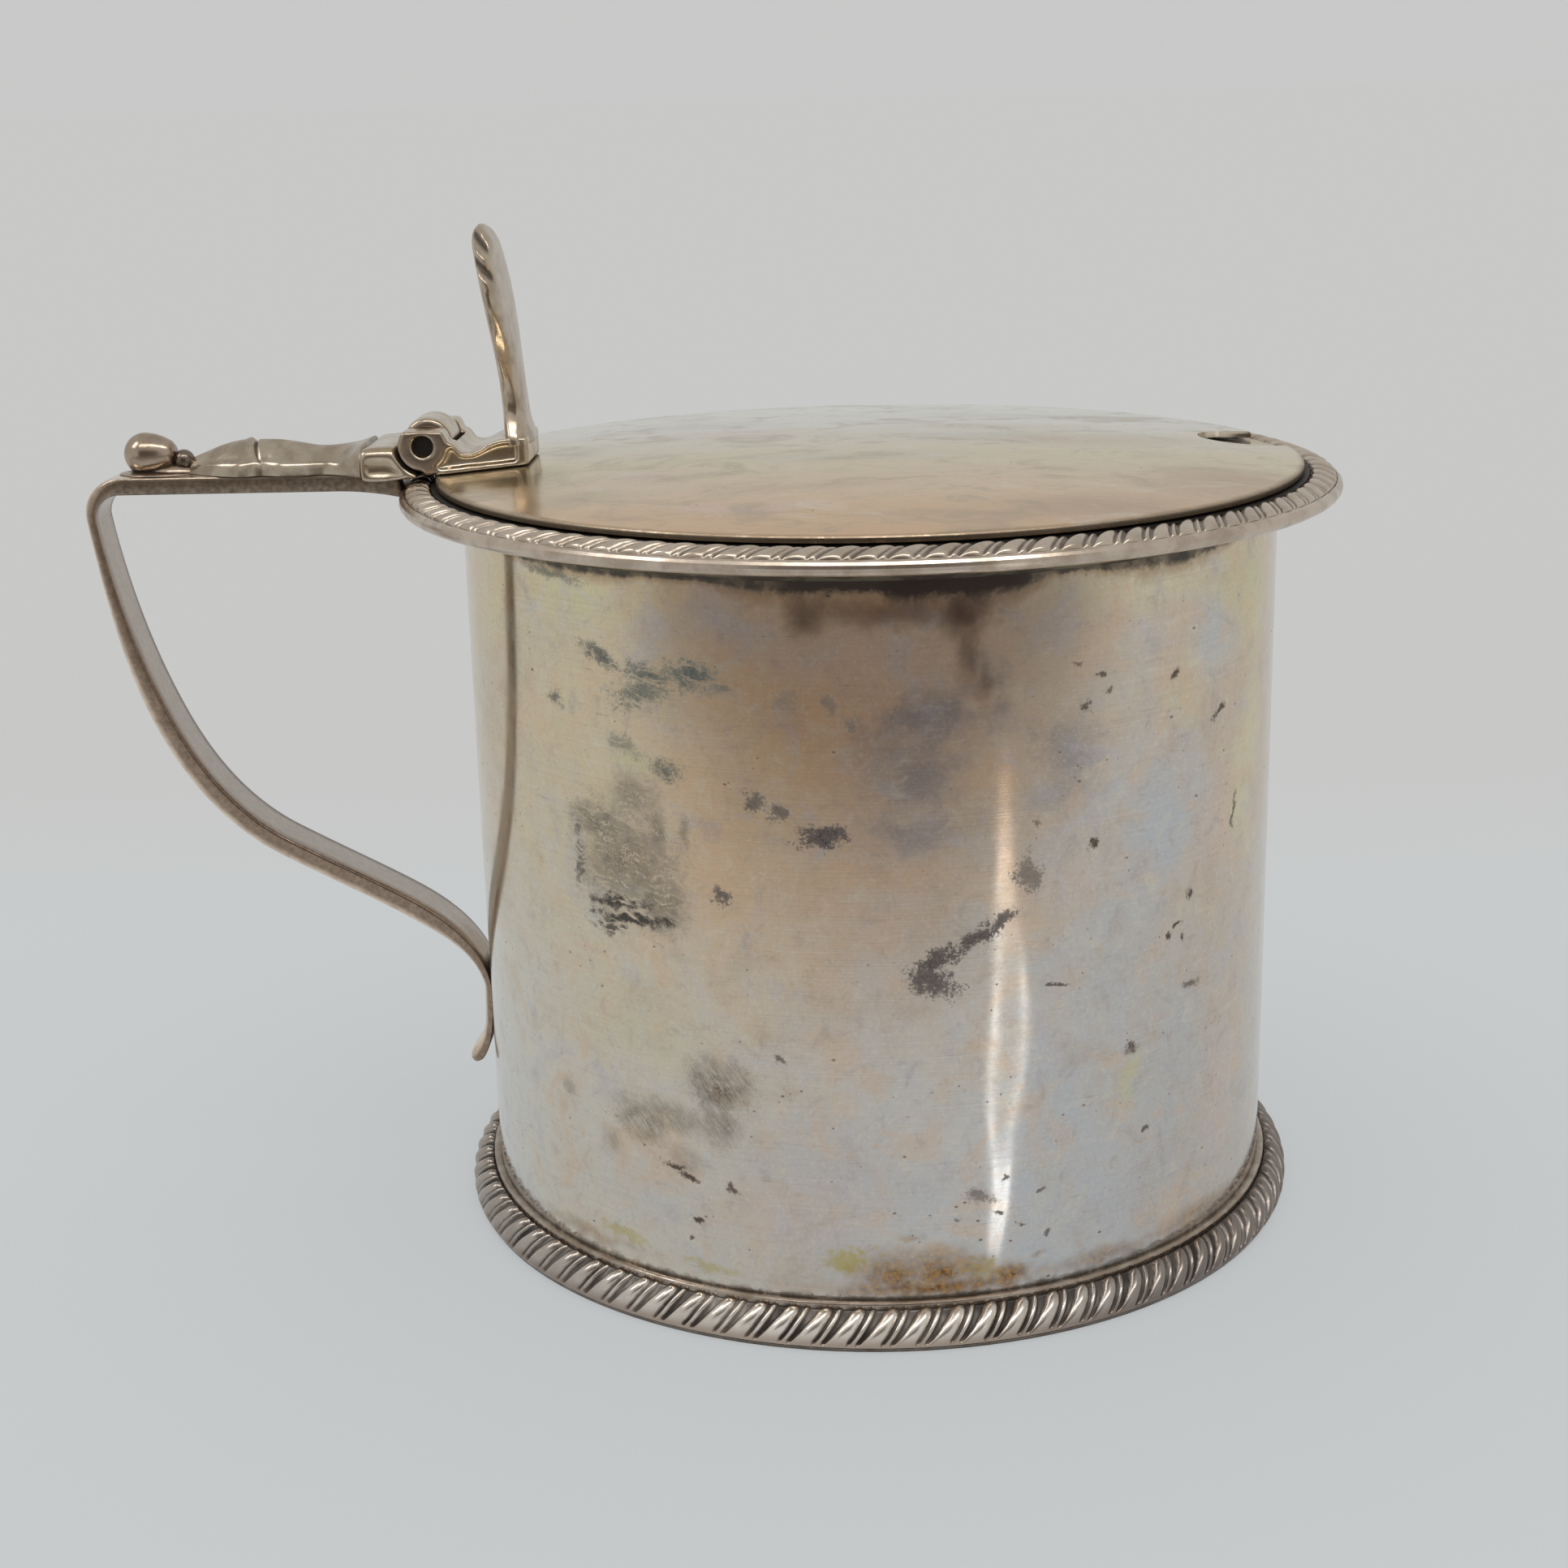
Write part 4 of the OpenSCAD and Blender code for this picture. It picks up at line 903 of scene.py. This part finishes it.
def cast_silver(name, crest, worn, cavity=False, tints=(), reach=0.9):
    """Cast and tarnished silver, black in its recesses. Tints are (attribute, colour)."""
    g = Coat(name)
    p = g.place()
    mottle = g.noise(p, 0.55, 4, 0.6, 0.4)
    grain = g.noise(p, 2.6, 4, 0.7)
    g.colour = g.tone(mottle, 0.34, 0.66, crest, worn)
    g.tints((g.noise(p, 1.1, 3, 0.6), 0.52, 0.74, 0.4, (0.3, 0.22, 0.16)))
    for attribute, tint in tints:
        g.paint(g.attribute(attribute) * g.step(grain, 0.3, 0.7, 1, 0.72), tint)
    hidden = g.add("ShaderNodeAmbientOcclusion", {"Distance": reach * MM}, samples=6, only_local=False)
    recess = g.step(g.out(hidden, "AO") + (grain - 0.5) * 0.3, 0.62, 0.3)
    if cavity:
        recess = recess | g.step(g.attribute("cavity"), 0.3, 0.9)
    g.paint(recess * 0.9, (0.05, 0.037, 0.028))
    soft = g.bump(g.noise(p, 0.45, 3, 0.5), 0.05)
    return g.finish(1 - recess * 0.4, recess * 0.3 + mottle * 0.14 + 0.13, g.bump(grain, 0.006, soft))


def border_silver(name, low, high, crest, worn, band, black, shade=None):
    """Gadroon: worn crests, black hollows, a brown band below and, with shade given, darkening above a height (from,
    to, weight) that is partly soot and partly painted shade, and painted shade on both sides away from the front.
    """
    g = Coat(name)
    p = g.place()
    x, _, z = g.split(p)
    mottle = g.noise(p, 0.4, 4, 0.6, 0.4)
    grain = g.noise(p, 2.8, 4, 0.7)
    cavity = g.attribute("cavity") + (grain - 0.5) * 0.4
    g.colour = g.tone(mottle, 0.34, 0.66, crest, worn)
    g.tints((grain, 0.54, 0.8, 0.35, (0.34, 0.26, 0.2)), (z + (mottle - 0.5) * 0.5, high, low, 0.85, band))
    if shade:
        # Painted shade: darker above the given height next to the drum (partly soot), and darker on both sides away
        # from the front
        g.tints((z, *shade, (0.24, 0.19, 0.15)), (x, 4, 24, 0.84, (0.17, 0.14, 0.125)),
                (x, -10, -30, 0.6, (0.22, 0.18, 0.15)))
    dark = g.step(cavity, 0.3, 0.8, 0, black) * g.step(g.noise(p, 0.16, 3, 0.6), 0.34, 0.6, 0.72, 1)
    g.paint(dark, (0.036, 0.029, 0.024))
    return g.finish(1 - dark * 0.4, dark * 0.3 + mottle * 0.14 + 0.15, g.bump(grain, 0.006))


def flange_silver():
    """The flange and its lip: painted shade under the lid, a black painted shadow in the gap along the lid's edge, and
    dark where it meets the drum, partly corrosion and partly painted shade.
    """
    g = Coat("cast_silver_flange")
    p = g.place()
    x, y, z = g.split(p)
    radius = g.length(g.join(x, y))
    mottle = g.noise(p, 0.4, 4, 0.6, 0.4)
    grain = g.noise(p, 2.6, 4, 0.7)
    ahead, aside, _ = g.split(g.turned(p, -NOTCH_TURN))
    bare = g.step(ahead, 0, 5) * g.step(mottle * 5 + abs(aside) - 2.5, 7.4, 4.6)
    covered = g.step(radius, 33.5, 33.2)
    # Painted shade on the seat under the lid, left out in the notch, and a painted shadow in the gap along the lid's
    # edge
    seat = covered * g.step(z, 56.9, 57.2) * (1 - bare)
    gap_shadow = seat * g.step(radius, 31.5, 32.4)
    # Dark underside of the lip next to the drum: partly corrosion, partly painted shade
    low = g.step(radius + (mottle - 0.5) * 3.6, 34.4, 32.6, 0, 0.9) * g.step(z, 56.5, 56)
    g.colour = g.tone(mottle, 0.35, 0.68, (0.67, 0.565, 0.465), (0.5, 0.4, 0.315))
    g.tints((grain, 0.55, 0.8, 0.4, (0.3, 0.22, 0.17)))
    g.paint(bare * covered, (0.66, 0.53, 0.34))
    # Painted shade under the lip (partly corrosion), under the lid, and in the gap at the lid's edge
    g.paint(low, g.tone(mottle, 0.4, 0.6, (0.16, 0.145, 0.1), (0.05, 0.04, 0.032)))
    g.paint(seat, g.tone(mottle, 0.38, 0.64, (0.36, 0.29, 0.21), (0.13, 0.105, 0.08)))
    g.paint(gap_shadow, (0.03, 0.025, 0.02))
    dark = gap_shadow | low
    return g.finish(1 - dark * 0.5, dark * 0.35 + mottle * 0.3 + 0.08, g.bump(grain, 0.004))


def pin_steel():
    g = Coat("dark_pin")
    grain = g.noise(g.place(), 2, 4, 0.7)
    g.colour = g.mix(grain, (0.012, 0.01, 0.008), (0.04, 0.03, 0.025))
    return g.finish(0.6, grain * 0.2 + 0.45, g.bump(grain, 0.01))


def cobalt_glass():
    g = Coat("cobalt_glass")
    p = g.place()
    g.colour = (0.02, 0.05, 0.42)
    g.set("Transmission Weight", 1)
    g.set("IOR", 1.5)
    smear = g.step(g.noise(p, 0.35, 4, 0.6, 0.4), 0.45, 0.75, 0.02, 0.14)
    return g.finish(0, smear, g.bump(g.noise(p, 0.12, 2, 0.5), 0.12))


def wear(material, *pieces):
    for piece in pieces:
        piece.data.materials.clear()
        piece.data.materials.append(material)


wear(drum_silver(), NODES["drum_wall"], NODES["base_plate"])
wear(lid_silver(), NODES["lid_plate"])
wear(flange_silver(), NODES["rim_flange"])
wear(pin_steel(), NODES["hinge_pin"])
wear(cobalt_glass(), NODES["glass_liner"])
wear(cast_silver("cast_silver_foot", (0.5, 0.42, 0.35), (0.34, 0.27, 0.21)), NODES["foot_ring"])
# The strap's tints are painted light and shade: darker side faces on the S and the bar, a greyer, darker inner face and
# a lighter top to the bar
wear(cast_silver("cast_silver_strap", (0.88, 0.71, 0.55), (0.7, 0.55, 0.42), tints=(
    ("inner", (0.45, 0.41, 0.37)), ("side", (0.28, 0.2, 0.15)), ("bar_side", (0.16, 0.12, 0.09)),
    ("bar_top", (0.84, 0.77, 0.68)))), strap)
wear(cast_silver("cast_silver_leaf", (0.53, 0.45, 0.35), (0.4, 0.33, 0.25), cavity=True), leaf)
wear(cast_silver("cast_silver_shell", (0.58, 0.48, 0.37), (0.44, 0.35, 0.26), cavity=True, reach=0.5), shell)
wear(cast_silver("cast_silver_ball", (0.5, 0.4, 0.31), (0.38, 0.29, 0.22)), ball)
# The bead is painted dark: partly tarnish, partly painted shade between the ball and the leaf
wear(cast_silver("cast_silver_bead", (0.24, 0.19, 0.15), (0.15, 0.12, 0.09)), bead)
wear(cast_silver("cast_silver_hinge", (0.7, 0.6, 0.47), (0.55, 0.45, 0.34), tints=(
    ("sunk", (0.42, 0.32, 0.2)), ("lug", (0.38, 0.3, 0.23)))), block, bracket)
# The foot's border gets painted shade at its top and on its sides
wear(border_silver("dark_silver_foot", 0.55, 1.5, (0.96, 0.88, 0.8), (0.8, 0.71, 0.62), (0.5, 0.39, 0.31), 0.97,
                   (2.35, 2.8, 0.5)), foot_border)
wear(border_silver("dark_silver_rim", 56.6, 57, (0.67, 0.57, 0.465), (0.53, 0.435, 0.345), (0.46, 0.35, 0.27), 0.72),
     rim_border)


# Stage, light and camera

BACKDROP = (0.578, 0.582, 0.576)
NEAR_FLOOR = (0.59, 0.612, 0.622)
FLOOR_GLOW = 0.62


def stage_mesh(name, points, faces, place, turn, material):
    """A piece of the stage from points in millimetres, turned by degrees about X, Y and Z."""
    mesh = bpy.data.meshes.new(name)
    mesh.from_pydata((np.asarray(points, float) * MM).tolist(), [], faces)
    mesh.materials.append(material)
    plane = linked(name, mesh)
    plane.location = Vector(place) * MM
    plane.rotation_euler = [math.radians(a) for a in turn]
    return plane


def stage_plane(name, width, depth, place, turn, material):
    x, y = width / 2, depth / 2
    return stage_mesh(name, [(-x, -y, 0), (x, -y, 0), (x, y, 0), (-x, y, 0)], [(0, 1, 2, 3)], place, turn, material)


def only_in_reflections(plane):
    for ray in ("camera", "diffuse", "shadow", "transmission"):
        setattr(plane, "visible_" + ray, False)


def floor_material():
    """Pale table. Camera, metal and glass see part of its tone as a glow, so that the shadow on it stays light."""
    g = Coat("pale_floor")
    x, y, _ = g.split(g.local())
    tone = g.mix(g.step(y, 0.05, 0.12) | g.step(g.length(g.join(x, y)), 0.2, 0.6), NEAR_FLOOR, BACKDROP)
    glow = g.seen() * FLOOR_GLOW
    g.set("Base Color", g.mix(glow, tone, (0, 0, 0)))
    g.set("Emission Color", tone)
    g.set("Emission Strength", glow)
    g.set("Roughness", 0.9)
    g.set("Specular IOR Level", 0)
    return g.material


def card_material(name, colour, half_width, low, high):
    """A matt card that fades out from high to low along its own Y, and at its sides."""
    g = Coat(name)
    x, y, _ = g.split(g.scaled(g.local(), (1 / MM,) * 3))
    g.set("Base Color", colour)
    g.set("Roughness", 0.9)
    g.set("Alpha", g.step(y, low, high) * g.step(abs(x), half_width, half_width * 0.55))
    return g.material


def strip_material():
    """A pale strip with a bright left edge, a bright right edge near the middle, and soft ends."""
    g = Coat("pale_strip")
    _, y, _ = g.split(g.scaled(g.local(), (1 / MM,) * 3))
    across = g.attribute("across")
    left = g.step(across, 0.42, 0.74) * g.step(across, 1, 0.82)
    right = g.step(across, -0.5, -0.78) * g.step(across, -1, -0.84) * g.step(y, 4, -14)
    body = g.step(abs(across), 1, 0.8) * g.step(y, -10, 26, 0.72, 1.15) * g.step(y, -46, -58, 1, 1.9)
    g.set("Base Color", (0, 0, 0))
    g.set("Roughness", 1)
    g.set("Specular IOR Level", 0)
    g.set("Emission Color", g.tone(y, -4, 40, (0.98, 1, 1), (1, 0.86, 0.74)))
    g.set("Emission Strength", (left | right) * 0.85 + body)
    g.set("Alpha", g.step(y, 72, 40) * g.step(y, -72, -64) * g.step(abs(across), 1, 0.84))
    return g.material


def pale_strip():
    """Leaf-shaped strip on the table that shows as the bright streak on the drum."""
    rows, cols = 74, 13
    y = np.linspace(-73, 73, rows)
    outline = np.array([
        (-73, 0.6, 1.2), (-66, 0.9, 1.1), (-60, 1.35, 0.5), (-53, 2, 0.4), (-47, 3, 0.9), (-38, 5.2, 0.2),
        (-24, 7.2, -1.6), (-8, 7.4, -2.2), (18, 5.2, -0.4), (35, 4.2, 0), (60, 2.2, 0), (73, 1.2, 0),
    ])
    half, middle = (blend(outline[:, (0, k)], y)[:, None] for k in (1, 2))
    across = np.linspace(-1, 1, cols)
    points = np.stack([middle + half * across, np.repeat(y[:, None], cols, 1), np.zeros((rows, cols))], 2)
    strip = stage_mesh("pale_strip", points.reshape(-1, 3), net_faces(rows, cols, close_cols=False),
                       (AXIS_X + 56, -92.5, 0.8), (0, 0, -143), strip_material())
    add_float(strip, "across", np.tile(across, rows))
    return strip


stage_plane("floor", 40000, 40000, (0, 0, 0), (0, 0, 0), floor_material())
near_card = stage_plane("near_card", 760, 620, (AXIS_X, -360, 0.4), (0, 0, 0),
                        card_material("dun_card", (0.275, 0.25, 0.232), 380, 300, 150))
tall_card = stage_plane("tall_card", 900, 520, (AXIS_X, -680, 250), (90, 0, 0),
                        card_material("dun_tall_card", (0.22, 0.2, 0.185), 450, 250, 60))
for plane in (near_card, tall_card, pale_strip()):
    only_in_reflections(plane)


def area_light(name, place, aim, width, height, power, colour):
    data = bpy.data.lights.new(name, "AREA")
    data.shape = "RECTANGLE"
    data.size = width * MM
    data.size_y = height * MM
    data.energy = power
    data.color = colour
    lamp = linked(name, data)
    lamp.location = Vector(place) * MM
    lamp.rotation_euler = (Vector(aim) - Vector(place)).to_track_quat("-Z", "Y").to_euler()
    lamp.visible_camera = False
    lamp.visible_diffuse = False


area_light("key", (50, -235, 430), (12, 0, 30), 480, 80, 0.5, (1, 0.985, 0.96))
area_light("window", (-330, -120, 380), (12, 0, 40), 120, 200, 0.24, (0.97, 0.985, 1))


def studio_world():
    """Even light; the camera, metal and glass see the pale backdrop."""
    world = bpy.data.worlds.new("studio")
    bpy.context.scene.world = world
    world.use_nodes = True
    g = Graph(world.node_tree)
    background = g.tree.nodes["Background"]
    g.feed(background.inputs["Color"], g.mix(g.seen(), (1, 0.995, 0.985), BACKDROP))
    g.feed(background.inputs["Strength"], 1)


studio_world()

# The camera that was fitted to the photograph: focal length in its pixels, place in millimetres, and turns in degrees
PHOTO_SIDE = 1932
FOCAL = 2973.02
CAMERA_PLACE = (12.27, -184.93, 85.56)
YAW, PITCH, ROLL = -2.110, 16.098, -1.394

camera_data = bpy.data.cameras.new("camera")
camera_data.sensor_fit = "HORIZONTAL"
camera_data.sensor_width = 36
camera_data.lens = camera_data.sensor_width * FOCAL / PHOTO_SIDE
camera_data.clip_start = 0.01
camera = linked("camera", camera_data)
yaw, pitch, roll = (math.radians(a) for a in (YAW, PITCH, ROLL))
ahead = Vector((math.sin(yaw) * math.cos(pitch), math.cos(yaw) * math.cos(pitch), -math.sin(pitch)))
right = Vector((math.cos(yaw), -math.sin(yaw), 0))
up = right.cross(ahead)
rolled_right = right * math.cos(roll) + up * math.sin(roll)
rolled_up = up * math.cos(roll) - right * math.sin(roll)
basis = Matrix((rolled_right, rolled_up, -ahead)).transposed().to_4x4()
camera.matrix_world = Matrix.Translation(Vector(CAMERA_PLACE) * MM) @ basis
bpy.context.scene.camera = camera
